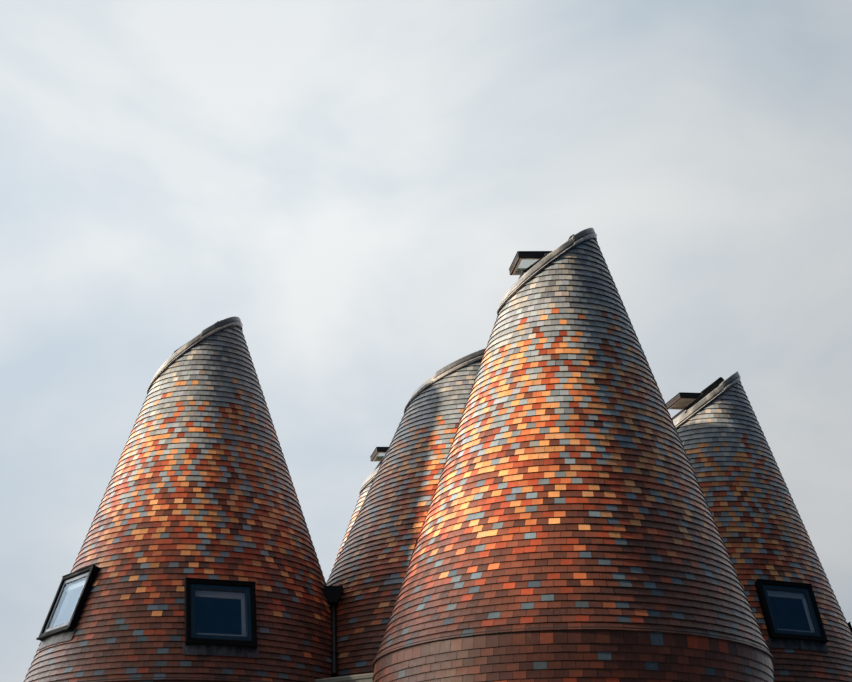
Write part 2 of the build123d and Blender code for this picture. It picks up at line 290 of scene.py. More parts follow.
def apron_material(name):
    m = Mat(name, rough=0.55)
    m.b.inputs["Specular IOR Level"].default_value = 0.25
    ribs = m.noise(11.0, 2.0, 0.5, co=m.scaled(1, 1, 0.05))
    big = m.noise(3.0, 4.0, 0.6)
    k = m.math("MULTIPLY", m.fit(ribs, 0.36, 0.64, 0.45, 1.8, smooth=True), m.fit(big, 0.3, 0.7, 0.75, 1.25))
    m.color(m.times((0.024, 0.027, 0.033), k))
    m.bump(ribs, 0.6, 0.02)
    return m.m


def wall_material(name, x, y, radius, apex=None, slope=None):
    """White plaster inside, dark underlay outside: told apart by the distance from the tower's axis."""
    m = Mat(name, rough=0.9)
    s = m.xyz()
    dx = m.math("SUBTRACT", s[0], x)
    dy = m.math("SUBTRACT", s[1], y)
    r = m.math("SQRT", m.math("ADD", m.math("MULTIPLY", dx, dx), m.math("MULTIPLY", dy, dy)))
    if apex is None:
        over = m.math("SUBTRACT", r, radius)
    else:
        over = m.math("SUBTRACT", r, m.math("MULTIPLY", m.math("SUBTRACT", apex, s[2]), slope))
    dark = m.fit(over, -0.045, -0.040)
    n1, n2 = m.noise(3.0, 4.0), m.noise(60.0, 3.0)
    inside = m.times((0.70, 0.69, 0.66), m.math("MULTIPLY", m.fit(n1, 0.3, 0.7, 0.92, 1.04), m.fit(n2, 0.3, 0.7, 0.97, 1.02)))
    m.color(m.mix(dark, inside, (0.016, 0.014, 0.013)))
    m.bump(n2, 0.12, 0.003)
    return m.m


def coated(name, base, rough=0.42, vary=0.16, dust=(0.20, 0.19, 0.17), dust_amt=0.25, spec=0.5):
    m = Mat(name, rough=rough)
    m.b.inputs["Specular IOR Level"].default_value = spec
    n1, n2 = m.noise(4.0, 4.0, 0.6), m.noise(45.0, 3.0, 0.6)
    col = m.times(base, m.fit(n1, 0.3, 0.7, 1 - vary, 1 + vary))
    col = m.mix(m.math("MULTIPLY", m.fit(n2, 0.52, 0.75), dust_amt), col, dust)
    m.color(col)
    m.rough(m.fit(n1, 0.3, 0.7, rough * 0.8, min(1.0, rough * 1.3)))
    m.bump(n2, 0.10, 0.002)
    return m.m


def glass_material(name, base, alpha, rough=0.035, ior=1.6, tint=(1.0, 1.0, 1.0)):
    m = Mat(name, rough=rough, ior=ior)
    n1 = m.noise(1.3, 3.0, 0.5)
    dirt = m.fit(m.noise(38.0, 4.0, 0.65), 0.52, 0.80)
    col = m.times(base, m.fit(n1, 0.3, 0.7, 0.80, 1.20))
    m.color(m.mix(m.math("MULTIPLY", dirt, 0.10), col, (0.25, 0.25, 0.23)))
    m.rough(m.fit(dirt, 0.0, 1.0, rough, rough + 0.14))
    m.b.inputs["Alpha"].default_value = alpha
    m.b.inputs["Specular Tint"].default_value = (*tint, 1.0)
    return m.m


def wood_material(name, light, dark, axis_scale=(2.0, 22.0, 22.0), rough=0.5):
    m = Mat(name, rough=rough)
    co = m.scaled(*axis_scale)
    grain = m.noise(3.0, 5.0, 0.6, co=co, dist=0.8)
    fine = m.noise(18.0, 3.0, 0.6, co=co)
    v = m.math("ADD", m.math("MULTIPLY", grain, 0.7), m.math("MULTIPLY", fine, 0.3))
    m.color(m.ramp(v, [(0.34, dark), (0.5, tuple((a + b) / 2 for a, b in zip(light, dark))), (0.62, light)]))
    m.rough(m.fit(fine, 0.3, 0.7, rough - 0.08, rough + 0.12))
    m.bump(v, 0.15, 0.002)
    return m.m


def render_material(name, base):
    m = Mat(name, rough=0.88)
    big = m.noise(1.1, 5.0, 0.62)
    grit = m.noise(120.0, 3.0, 0.7)
    z = m.xyz()[2]
    run = m.noise(5.0, 4.0, 0.6, co=m.scaled(1, 1, 0.10))
    k = m.math("MULTIPLY", m.fit(big, 0.3, 0.7, 0.86, 1.10), m.fit(grit, 0.3, 0.7, 0.90, 1.08))
    k = m.math("MULTIPLY", k, m.fit(run, 0.42, 0.66, 1.04, 0.84))
    col = m.times(base, k)
    foot = m.math("MULTIPLY", m.fit(z, 0.15, 0.75, 1.0, 0.0, smooth=True), m.fit(run, 0.3, 0.7, 0.25, 0.8))
    head = m.math("MULTIPLY", m.fit(z, 5.45, 5.94, 0.0, 1.0, smooth=True), m.fit(run, 0.35, 0.65, 0.0, 0.6))
    col = m.mix(m.math("MAXIMUM", foot, head), col, (0.085, 0.085, 0.070))
    m.color(col)
    m.bump(m.math("ADD", grit, m.math("MULTIPLY", big, 0.8)), 0.35, 0.004)
    return m.m


def coping_material(name):
    m = Mat(name, rough=0.6)
    z = m.xyz()[2]
    n1, n2 = m.noise(4.0, 4.0, 0.6), m.noise(50.0, 3.0, 0.6)
    # the upper edge is painted paler as painted light from above, with a thin painted shadow band just under it
    top = m.fit(z, LINK_TOP + 0.0365, LINK_TOP + 0.0385)
    line = m.math("MULTIPLY", m.fit(z, LINK_TOP + 0.030, LINK_TOP + 0.031), m.math("SUBTRACT", 1.0, top))
    col = m.mix(top, (0.110, 0.118, 0.102), (0.200, 0.195, 0.172))
    col = m.mix(line, col, (0.020, 0.020, 0.018))
    m.color(m.times(col, m.math("MULTIPLY", m.fit(n1, 0.3, 0.7, 0.82, 1.12), m.fit(n2, 0.3, 0.7, 0.92, 1.06))))
    m.bump(n2, 0.15, 0.002)
    return m.m


def concrete_material(name):
    m = Mat(name, rough=0.9)
    big, mid, grit = m.noise(0.8, 5.0, 0.6), m.noise(7.0, 4.0, 0.6), m.noise(90.0, 3.0, 0.7)
    pits = m.fit(m.voronoi(42.0), 0.02, 0.12, 0.55, 1.0)
    k = m.math("MULTIPLY", m.fit(big, 0.3, 0.7, 0.84, 1.10), m.fit(mid, 0.3, 0.7, 0.90, 1.08))
    k = m.math("MULTIPLY", k, m.math("MULTIPLY", m.fit(grit, 0.3, 0.7, 0.93, 1.05), pits))
    col = m.times((0.36, 0.35, 0.33), k)
    foot = m.math("MULTIPLY", m.fit(m.xyz()[2], 0.0, 0.09, 1.0, 0.0), m.fit(mid, 0.35, 0.6, 0.3, 0.9))
    m.color(m.mix(foot, col, (0.10, 0.10, 0.085)))
    m.bump(m.math("ADD", grit, m.math("MULTIPLY", pits, 1.5)), 0.4, 0.003)
    return m.m


MAT = {
    "tiles": tile_material(),
    "lead": lead_material("weathered_lead", base=(0.100, 0.104, 0.102), pale=(0.34, 0.33, 0.305), amount=0.48),
    "lead_lip": lead_material("pale_lead_lip", base=(0.40, 0.395, 0.375), pale=(0.56, 0.55, 0.52), amount=0.5),
    # dark lead: painted shade for the capping's recesses
    "lead_shade_band": lead_material("dark_lead", base=(0.022, 0.025, 0.030), pale=(0.060, 0.063, 0.070), amount=0.40),
    "deck": lead_material("sheet_roof", base=(0.33, 0.335, 0.33), pale=(0.48, 0.475, 0.455), amount=0.5),
    "black": coated("black_coating", (0.0040, 0.0045, 0.0055), rough=0.62, dust_amt=0.01, spec=0.04),
    "dark_grey": coated("dark_grey_cladding", (0.021, 0.023, 0.026), rough=0.60, dust_amt=0.05, spec=0.10),
    "blue_frame": coated("blue_black_sash", (0.002, 0.022, 0.045), rough=0.35, dust_amt=0.01, spec=0.20),
    "glass": glass_material("window_glass_blue", (0.001, 0.009, 0.025), 0.30, ior=1.95, tint=(0.04, 0.52, 1.0)),
    "roof_glass": glass_material("roof_glass_green", (0.11, 0.37, 0.29), 0.30),
    "seal": coated("rubber_seal", (0.012, 0.012, 0.013), rough=0.75, dust_amt=0.10),
    # dark timber, darkened further as painted shade on the sashes' undersides
    "brown": coated("dark_timber_painted_shade", (0.017, 0.0095, 0.006), rough=0.6, dust_amt=0.03, spec=0.15),
    # beige blind, painted extra pale: partly painted light standing in for light bounced up under the sash
    "blind": coated("beige_blind", (0.93, 0.84, 0.72), rough=0.8, vary=0.08, dust_amt=0.05, spec=0.2),
    "lead_up": lead_material("dark_lead_hood", base=(0.058, 0.063, 0.066), pale=(0.17, 0.17, 0.16), amount=0.45),
    "pale_bar": coated("pale_inner_frame", (0.74, 0.86, 0.95), rough=0.55, vary=0.04, dust_amt=0.01),
    # paler strip: painted highlight on the inner corner under the top bar
    "highlight_edge": coated("inner_edge_painted_highlight", (0.93, 0.95, 0.95), rough=0.5, vary=0.02, dust_amt=0.01),
    "white_lining": coated("white_lining", (0.55, 0.66, 0.70), rough=0.55, vary=0.05, dust_amt=0.04),
    "pine": wood_material("pine", (0.74, 0.67, 0.54), (0.58, 0.47, 0.33)),
    "reveal": coated("pale_reveal", (0.55, 0.56, 0.56), rough=0.7, vary=0.06, dust_amt=0.05),
    "floor": wood_material("oak_floor", (0.42, 0.28, 0.16), (0.25, 0.15, 0.08), axis_scale=(1.2, 9.0, 9.0)),
    "render": render_material("grey_green_render", (0.200, 0.213, 0.188)),
    "coping": coping_material("coping_sheet"),
    "concrete": concrete_material("plinth_concrete"),
    "rain": coated("black_rainwater", (0.0042, 0.0045, 0.005), rough=0.45, dust_amt=0.02, spec=0.14),
    "steel": coated("brushed_steel", (0.42, 0.42, 0.41), rough=0.32, vary=0.08, dust_amt=0.08),
}
PLASTER = wall_material("plaster_walls", 0.0, 0.0, 99.0)


# ------------------------------------------------------------------- meshes
def piece(name, verts, faces, mat, replaces=(), smooth=False):
    me = bpy.data.meshes.new(name)
    me.from_pydata([tuple(v) for v in verts], [], faces)
    me.validate()
    me.update()
    ob = bpy.data.objects.new(name, me)
    bpy.context.scene.collection.objects.link(ob)
    for mm in (mat if isinstance(mat, (list, tuple)) else [mat]):
        me.materials.append(mm)
    if smooth:
        me.shade_smooth()
    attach(ob, "root")
    if replaces:
        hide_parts(*replaces)
    return ob


class Build:
    """Collects closed solids into one mesh, each with a material index."""

    def __init__(self):
        self.v, self.f, self.mi = [], [], []

    def add(self, verts, faces, mi=0):
        o = len(self.v)
        self.v += [tuple(p) for p in verts]
        self.f += [tuple(i + o for i in f) for f in faces]
        self.mi += [mi] * len(faces)

    def box(self, M, lo, hi, ch=0.003, mi=0):
        """Box with chamfered edges, in the frame M."""
        x0, y0, z0 = lo
        x1, y1, z1 = hi
        ch = min(ch, (x1 - x0) * 0.3, (y1 - y0) * 0.3, (z1 - z0) * 0.3)
        vs, idx = [], {}
        for ix, X in enumerate((x0, x1)):
            for iy, Y in enumerate((y0, y1)):
                for iz, Z in enumerate((z0, z1)):
                    sx, sy, sz = (1, -1)[ix] * ch, (1, -1)[iy] * ch, (1, -1)[iz] * ch
                    for k, p in enumerate(((X, Y + sy, Z + sz), (X + sx, Y, Z + sz), (X + sx, Y + sy, Z))):
                        idx[(ix, iy, iz, k)] = len(vs)
                        vs.append(M @ Vector(p))
        g = idx
        fs = []
        for i in (0, 1):
            q = [g[(i, 0, 0, 0)], g[(i, 1, 0, 0)], g[(i, 1, 1, 0)], g[(i, 0, 1, 0)]]
            fs.append(q if i else q[::-1])
            q = [g[(0, i, 0, 1)], g[(0, i, 1, 1)], g[(1, i, 1, 1)], g[(1, i, 0, 1)]]
            fs.append(q if i else q[::-1])
            q = [g[(0, 0, i, 2)], g[(1, 0, i, 2)], g[(1, 1, i, 2)], g[(0, 1, i, 2)]]
            fs.append(q if i else q[::-1])
        for i in (0, 1):
            for j in (0, 1):
                q = [g[(i, j, 0, 0)], g[(i, j, 0, 1)], g[(i, j, 1, 1)], g[(i, j, 1, 0)]]
                fs.append(q[::-1] if (i == j) else q)
                q = [g[(i, 0, j, 0)], g[(i, 1, j, 0)], g[(i, 1, j, 2)], g[(i, 0, j, 2)]]
                fs.append(q[::-1] if (i == j) else q)
                q = [g[(0, i, j, 1)], g[(0, i, j, 2)], g[(1, i, j, 2)], g[(1, i, j, 1)]]
                fs.append(q[::-1] if (i == j) else q)
        for i in (0, 1):
            for j in (0, 1):
                for k in (0, 1):
                    q = [g[(i, j, k, 0)], g[(i, j, k, 1)], g[(i, j, k, 2)]]
                    fs.append(q if (i + j + k) % 2 else q[::-1])
        self.add(vs, fs, mi)

    def ring(self, M, hx, hy, w, z0, z1, ch=0.003, mi=0, wx=None):
        """Rectangular frame of four rails, outer half sizes hx, hy and rail width w (wx for the ends)."""
        wx = w if wx is None else wx
        self.box(M, (-hx, -hy, z0), (-hx + wx, hy, z1), ch, mi)
        self.box(M, (hx - wx, -hy, z0), (hx, hy, z1), ch, mi)
        self.box(M, (-hx + wx, -hy, z0), (hx - wx, -hy + w, z1), ch, mi)
        self.box(M, (-hx + wx, hy - w, z0), (hx - wx, hy, z1), ch, mi)

    def sweep(self, pts, radius, n=12, mi=0, closed_ends=True):
        """Round tube along points."""
        pts = [Vector(p) for p in pts]
        rad = radius if isinstance(radius, (list, tuple)) else [radius] * len(pts)
        rings, up = [], None
        for i, p in enumerate(pts):
            d = (pts[min(i + 1, len(pts) - 1)] - pts[max(i - 1, 0)]).normalized()
            if up is None:
                up = d.orthogonal().normalized()
            up = (up - d * up.dot(d)).normalized()
            side = d.cross(up)
            rings.append([p + (up * math.cos(2 * math.pi * k / n) + side * math.sin(2 * math.pi * k / n)) * rad[i] for k in range(n)])
        vs = [q for r in rings for q in r]
        fs = []
        for i in range(len(pts) - 1):
            for k in range(n):
                a, b = i * n + k, i * n + (k + 1) % n
                fs.append((a, b, b + n, a + n))
        if closed_ends:
            fs.append(tuple(range(n))[::-1])
            fs.append(tuple((len(pts) - 1) * n + k for k in range(n)))
        self.add(vs, fs, mi)

    def make(self, name, mats, slot, replaces=(), smooth=False):
        ob = piece(name, self.v, self.f, mats, replaces, smooth)
        if len(set(self.mi)) > 1:
            ob.data.polygons.foreach_set("material_index", self.mi)
        bm = bmesh.new()                # every closed part faces outwards
        bm.from_mesh(ob.data)
        bmesh.ops.recalc_face_normals(bm, faces=bm.faces)
        bm.to_mesh(ob.data)
        bm.free()
        return ob


# -------------------------------------------------------------------- tiles
KEYS = [  # height, share of each shade
    (5.80, (0.40, 0.46, 0.030, 0.005, 0.000, 0.035, 0.070, 0.000)),
    (6.70, (0.32, 0.50, 0.070, 0.010, 0.005, 0.040, 0.050, 0.000)),
    (7.10, (0.22, 0.46, 0.160, 0.060, 0.030, 0.055, 0.015, 0.000)),
    (7.50, (0.07, 0.29, 0.300, 0.130, 0.110, 0.080, 0.020, 0.000)),
    (7.90, (0.02, 0.18, 0.290, 0.150, 0.200, 0.140, 0.020, 0.000)),
    (8.60, (0.01, 0.12, 0.240, 0.130, 0.250, 0.210, 0.030, 0.010)),
    (9.10, (0.00, 0.08, 0.190, 0.110, 0.270, 0.300, 0.040, 0.010)),
    (9.60, (0.00, 0.05, 0.120, 0.090, 0.270, 0.410, 0.040, 0.020)),
    (10.05, (0.00, 0.03, 0.080, 0.070, 0.230, 0.510, 0.050, 0.030)),
    (10.42, (0.00, 0.01, 0.050, 0.040, 0.130, 0.620, 0.070, 0.080)),
    (10.75, (0.00, 0.00, 0.000, 0.000, 0.000, 0.650, 0.170, 0.180)),
    (13.0, (0.00, 0.00, 0.000, 0.000, 0.000, 0.620, 0.200, 0.180)),
]
DRUM_SHARE = (0.56, 0.405, 0.022, 0.003, 0.000, 0.006, 0.004, 0.000)


def share_at(z, lift):
    z = z + lift
    for (z0, s0), (z1, s1) in zip(KEYS, KEYS[1:]):
        if z < z1:
            t = max(0.0, (z - z0) / (z1 - z0))
            return [a + (b - a) * t for a, b in zip(s0, s1)]
    return KEYS[-1][1]


def pick(rng, share):
    r, acc = rng.random() * sum(share), 0.0
    for i, s in enumerate(share):
        acc += s
        if r < acc:
            return i
    return len(share) - 1


def clip(poly, f):
    """The part of a convex polygon where f > 0; f is given at each corner."""
    out = []
    n = len(poly)
    for i in range(n):
        p, q, a, b = poly[i], poly[(i + 1) % n], f[i], f[(i + 1) % n]
        if a > 0:
            out.append(p)
        if (a > 0) != (b > 0):
            t = a / (a - b)
            out.append((p[0] + (q[0] - p[0]) * t, p[1] + (q[1] - p[1]) * t))
    return out if len(out) >= 3 else []


def area(poly):
    return abs(sum(poly[i][0] * poly[(i + 1) % len(poly)][1] - poly[(i + 1) % len(poly)][0] * poly[i][1] for i in range(len(poly)))) / 2


class Surface:
    """Wall of a tower: cone above the eaves, or drum below. Points are azimuth, distance along the slope, distance out."""

    def __init__(self, n, is_cone):
        self.n, self.cone = n, is_cone
        self.x, self.y, self.apex, self.t = TOWERS[n][:4]
        self.phi = math.atan(self.t) if is_cone else 0.0
        self.r0 = R_FACE[n] - (0.0 if is_cone else 0.001)
        self.cp, self.sp = math.cos(self.phi), math.sin(self.phi)

    def r(self, s):
        return self.r0 - s * self.sp

    def at(self, a, s, off):
        r = self.r(s) + off * self.cp
        return (self.x + r * math.cos(a), self.y + r * math.sin(a), EAVES + s * self.cp + off * self.sp)


def rim_gap(n, p, drop):
    """Height of a point under the rim plane lowered by drop; positive below it."""
    x, y, apex, t, m, k, z0 = TOWERS[n]
    return z0 - drop + m * (p[0] - x) + k * (p[1] - y) - p[2]


def other_gap(n, p, lift=0.004):
    """Distance outside every other tower's cone face (above the eaves)."""
    g = 9.0
    for o in TOWERS:
        if o != n:
            x, y = TOWERS[o][:2]
            g = min(g, math.hypot(p[0] - x, p[1] - y) - face_r(o, p[2]) - lift)
    return g


def link_gap(n, p):
    """Distance outside the links' outer faces, positive outside the building."""
    g = -9.0
    for k in LINKS:
        g = max(g, (p[0] - k["mx"]) * k["nx"] + (p[1] - k["my"]) * k["ny"] - k["out"])
    return g


def window_frames_of(n, is_cone):
    out = []
    x, y, apex, t = TOWERS[n][:4]
    if is_cone:
        for wn, az, zc in CONE_WINDOWS:
            if wn != n:
                continue
            a, tilt, r = math.radians(az), math.atan(t), face_r(n, zc)
            o = Vector((x + r * math.cos(a), y + r * math.sin(a), zc))
            ux = Vector((-math.sin(a), math.cos(a), 0))
            uz = Vector((math.cos(a) * math.cos(tilt), math.sin(a) * math.cos(tilt), math.sin(tilt)))
            out.append((o, ux, uz.cross(ux), uz, CW_W / 2, CW_L / 2, az))
    else:
        az = math.degrees(math.atan2(y - CY, x - CX))
        for s in (-1, 1):
            for sill in DW_SILLS:
                wa = math.radians(az + s * DW_TURN)
                r = R_OUT[n]
                o = Vector((x + r * math.cos(wa), y + r * math.sin(wa), sill + DW_H / 2))
                ux = Vector((-math.sin(wa), math.cos(wa), 0))
                uz = Vector((math.cos(wa), math.sin(wa), 0))
                out.append((o, ux, uz.cross(ux), uz, DW_W / 2, DW_H / 2, math.degrees(wa)))
    return out


def frame_matrix(w):
    o, ux, uy, uz = w[:4]
    return Matrix(((ux.x, uy.x, uz.x, o.x), (ux.y, uy.y, uz.y, o.y), (ux.z, uy.z, uz.z, o.z), (0, 0, 0, 1)))


def hung_tiles(name, n, is_cone, seed, lift=0.0):
    rng = random.Random(seed)
    S = Surface(n, is_cone)
    wins = window_frames_of(n, is_cone)
    ref = math.radians(-97.0)
    courses = []          # tail position, exposed length, kick at the tail
    if is_cone:
        s = 0.0
        i = 0
        while S.r(s) > 0.30:
            courses.append((s, GAUGE, 0.013 * max(0.0, 1 - i / 3.0)))
            s += GAUGE
            i += 1
    else:
        s = -0.165
        courses.append((s, 0.165, 0.0))
        while EAVES + s - GAUGE > PLINTH_TOP - 0.03:
            s -= GAUGE
            courses.append((s, GAUGE, 0.0))
    prisms = []           # (polygon [(a, s)], tail s, head s, tail offset, head offset, turn, shade, rnd)
    half = 0
    for ci, (s0, exp, kick) in enumerate(courses):
        rr = S.r(s0)
        # tiles are cut narrower towards the top
        cnt = max(6, int(round(2 * math.pi * rr / (0.060 + 0.0415 * rr if is_cone else 0.168))))
        da = 2 * math.pi / cnt
        half = 1 - half
        phase = ref + (0.5 * half) * da + rng.uniform(-0.05, 0.05) * da
        # each course runs round from the reference line, every other one shifted by half a tile
        last = None
        lo_tail = s0 - (0.008 if (is_cone and ci == 0) else 0.0)
        hi_s = s0 + exp + (0.014 if is_cone or ci else -0.003)
        z_mid = EAVES + (s0 + exp / 2) * S.cp
        for k in range(cnt):
            a0 = phase + k * da
            a1 = a0 + da
            am = (a0 + a1) / 2
            pm = S.at(am, s0 + exp / 2, 0)
            if is_cone:
                g_rim = rim_gap(n, pm, 0.055)
                if g_rim < -0.25:
                    last = None
                    continue
                g_oth = other_gap(n, pm)
            else:
                g_rim = 9.0
                g_oth = link_gap(n, pm)
            if g_oth < -0.16:
                last = None
                continue
            share = share_at(z_mid, lift + rng.gauss(0, 0.06)) if is_cone else DRUM_SHARE
            shade = pick(rng, share)
            if shade == last and 2 <= shade <= 4 and rng.random() < 0.5:
                shade = pick(rng, share)
            if z_mid < 9.7 and shade >= 5 and last is not None and last >= 5:
                shade = pick(rng, share)
            last = shade
            rnd = rng.random()
            sh = (shade + 0.5) / 8 + (rng.uniform(-0.030, 0.024) if shade < 5 else rng.uniform(0.0, 0.010))
            gapw = (rng.uniform(0.0008, 0.0017) if z_mid > 7.4 else rng.uniform(0.0015, 0.0027)) / rr
            turn = rng.gauss(0, 0.0012)
            tail = lo_tail + rng.gauss(0, 0.0009)
            up = rng.uniform(0.000, 0.0032)
            poly = [(a0 + gapw, tail - turn), (a1 - gapw, tail + turn), (a1 - gapw, hi_s), (a0 + gapw, hi_s)]
            polys = [poly]
            if g_rim < 0.25:
                polys = [clip(p, [rim_gap(n, S.at(a, s_, 0), 0.055) for a, s_ in p]) for p in polys]
            if g_oth < 0.25:
                fn = (lambda P: other_gap(n, P)) if is_cone else (lambda P: link_gap(n, P))
                polys = [clip(p, [fn(S.at(a, s_, 0)) for a, s_ in p]) for p in polys if p]
            for w in wins:
                o, ux, uy, uz, hu, hv, az = w
                d = Vector(pm) - o
                if d.length > 1.15 or d.dot(uz) < -0.6:
                    continue
                hu, hv = hu + 0.004, hv + 0.004
                nxt = []
                for p in polys:
                    if not p:
                        continue
                    loc = [(Vector(S.at(a, s_, 0)) - o) for a, s_ in p]
                    u = [q.dot(ux) for q in loc]
                    v = [q.dot(uy) for q in loc]
                    if max(u) < -hu or min(u) > hu or max(v) < -hv or min(v) > hv:
                        nxt.append(p)
                        continue

                    def uv(poly_):
                        L = [(Vector(S.at(a, s_, 0)) - o) for a, s_ in poly_]
                        return [q.dot(ux) for q in L], [q.dot(uy) for q in L]
                    below = clip(p, [-hv - b for b in v])
                    above = clip(p, [b - hv for b in v])
                    band = clip(p, [b + hv for b in v])
                    if band:
                        band = clip(band, [hv - b for b in uv(band)[1]])
                    if band:
                        lft = clip(band, [-hu - b for b in uv(band)[0]])
                        rgt = clip(band, [b - hu for b in uv(band)[0]])
                        nxt += [lft, rgt]
                    nxt += [below, above]
                polys = nxt
            for p in polys:
                if p and area(p) * rr > 0.00012:
                    prisms.append((p, s0, hi_s, kick + up, sh, rnd))
    # build the mesh
    verts, faces, shade_a, rnd_a, joint_and_painted_shade_a, uvs, head_a = [], [], [], [], [], [], []
    side = int(math.ceil(math.sqrt(len(prisms))))
    cell = 1.0 / side
    for pi, (p, s0, s1, tail_off, sh, rnd) in enumerate(prisms):
        k = len(p)
        o = len(verts)
        drop = 0.0185 + tail_off * 0.45
        for thick in (0.0, -TILE_T):
            for a, s_ in p:
                f = (s_ - s0) / (s1 - s0)  # 0 at the tail, 1 at the head
                verts.append(S.at(a, s_, tail_off - drop * f + thick))
                head_a.append((s_ - s0) / max(0.098, s1 - 0.014 - s0))
        u0, v0 = (pi % side) * cell, (pi // side) * cell
        amin, amax = min(q[0] for q in p), max(q[0] for q in p)
        smin, smax = min(q[1] for q in p), max(q[1] for q in p)

        def uvo(q):
            return (u0 + cell * (0.06 + 0.72 * (q[0] - amin) / max(1e-6, amax - amin)),
                    v0 + cell * (0.24 + 0.70 * (q[1] - smin) / max(1e-6, smax - smin)))
        # edge is 0 on the outer face, 1 on the back and tail faces and 0.45 on the other sides: the material paints
        # shade on these faces
        faces.append(tuple(range(o, o + k)))
        joint_and_painted_shade_a.append(0.0)
        uvs += [uvo(q) for q in p]
        faces.append(tuple(range(o + 2 * k - 1, o + k - 1, -1)))
        joint_and_painted_shade_a.append(1.0)
        uvs += [(u0 + cell * (0.86 + 0.10 * (q[0] - amin) / max(1e-6, amax - amin)),
                 v0 + cell * (0.04 + 0.10 * (q[1] - smin) / max(1e-6, smax - smin))) for q in reversed(p)]
        strips = 0
        for i in range(k):
            j = (i + 1) % k
            faces.append((o + i, o + k + i, o + k + j, o + j))
            tail_side = abs(p[i][1] - p[j][1]) < 0.02 and (p[i][1] + p[j][1]) / 2 < (smin + smax) / 2
            joint_and_painted_shade_a.append(1.0 if tail_side else 0.45)
            if tail_side and strips >= 0 and i == 0:
                x0_, x1_, y0_, y1_ = 0.06, 0.78, 0.04, 0.15
            else:
                h = 0.74 / max(k - 1, 1)
                y0_ = 0.20 + h * strips + 0.01
                y1_ = y0_ + h - 0.03
                x0_, x1_ = 0.86, 0.96
                strips += 1
            uvs += [(u0 + cell * x0_, v0 + cell * y1_), (u0 + cell * x0_, v0 + cell * y0_),
                    (u0 + cell * x1_, v0 + cell * y0_), (u0 + cell * x1_, v0 + cell * y1_)]
        shade_a += [sh] * (k + 2)
        rnd_a += [rnd] * (k + 2)
    me = bpy.data.meshes.new(name)
    me.from_pydata(verts, [], faces)
    for nm, arr in (("shade", shade_a), ("rnd", rnd_a), ("edge", joint_and_painted_shade_a)):
        at = me.attributes.new(nm, "FLOAT", "FACE")
        at.data.foreach_set("value", np.array(arr, np.float32))
    at = me.attributes.new("head", "FLOAT", "POINT")
    at.data.foreach_set("value", np.array(head_a, np.float32))
    lay = me.uv_layers.new(name="OFBake", do_init=False)
    lay.uv.foreach_set("vector", np.array(uvs, np.float32).ravel())
    me.update()
    ob = bpy.data.objects.new(name, me)
    bpy.context.scene.collection.objects.link(ob)
    me.materials.append(MAT["tiles"])
    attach(ob, "root")
    tris = sum(len(f) - 2 for f in faces)
    print("TILES", name, len(prisms), "tiles", tris, "triangles")
    return ob


for i, n in enumerate(TOWERS):
    hung_tiles("%s_cone_tiles" % n, n, True, 100 + i,
               lift={"front": 0.10, "left": -0.10, "right": -0.10}.get(n, 0.0))
for i, n in enumerate(OUTER):
    hung_tiles("%s_drum_tiles" % n, n, False, 200 + i)

# ------------------------------------------------------------- lead cappings
def rim_point(n, a, d, h):
    """Point on the cone face moved out by d, at the rim plane lifted by h."""
    x, y, apex, t, m, k, z0 = TOWERS[n]
    g = m * math.cos(a) + k * math.sin(a)
    r = ((apex - z0 - h) * t + d) / (1 + g * t)
    return Vector((x + r * math.cos(a), y + r * math.sin(a), z0 + h + g * r))


# closed section: recessed band at the foot painted dark as shade, pale drip lip, upper band, rolled edge, top, inner
# lip
CAP_PROF = [(0.005, -0.166), (0.0085, -0.1725), (0.0135, -0.1715), (0.0140, -0.166), (0.0110, -0.163), (0.0100, -0.154),
            (0.0115, -0.1475), (0.0245, -0.1470), (0.0285, -0.1405), (0.0260, -0.1340), (0.0130, -0.1325), (0.0130, -0.1240), (0.0202, -0.1225), (0.0188, -0.080),
            (0.0195, -0.030), (0.0185, -0.012), (0.0150, -0.003), (0.0080, 0.0020), (-0.002, 0.0040), (-0.050, 0.0030),
            (-0.090, 0.0026), (-0.125, 0.0020), (-0.158, 0.0012), (-0.1630, -0.006), (-0.163, -0.045), (-0.150, -0.046),
            (-0.030, -0.046), (0.003, -0.060), (0.003, -0.150)]
# material 2 paints shade into the recessed foot band, the recess under the lip and the inner lip
CAP_MAT = [2, 2, 2, 2, 2, 2, 1, 1, 1, 1, 2, 2] + [0] * 12 + [2] * 5
# azimuths between which the uphill half of a capping lies over the lower half
CAP_STEP = {"front": (-77, 100), "left": (-93, 100), "right": (-80, 110), "rear": (-75, 95), "centre": (-133.5, 122)}

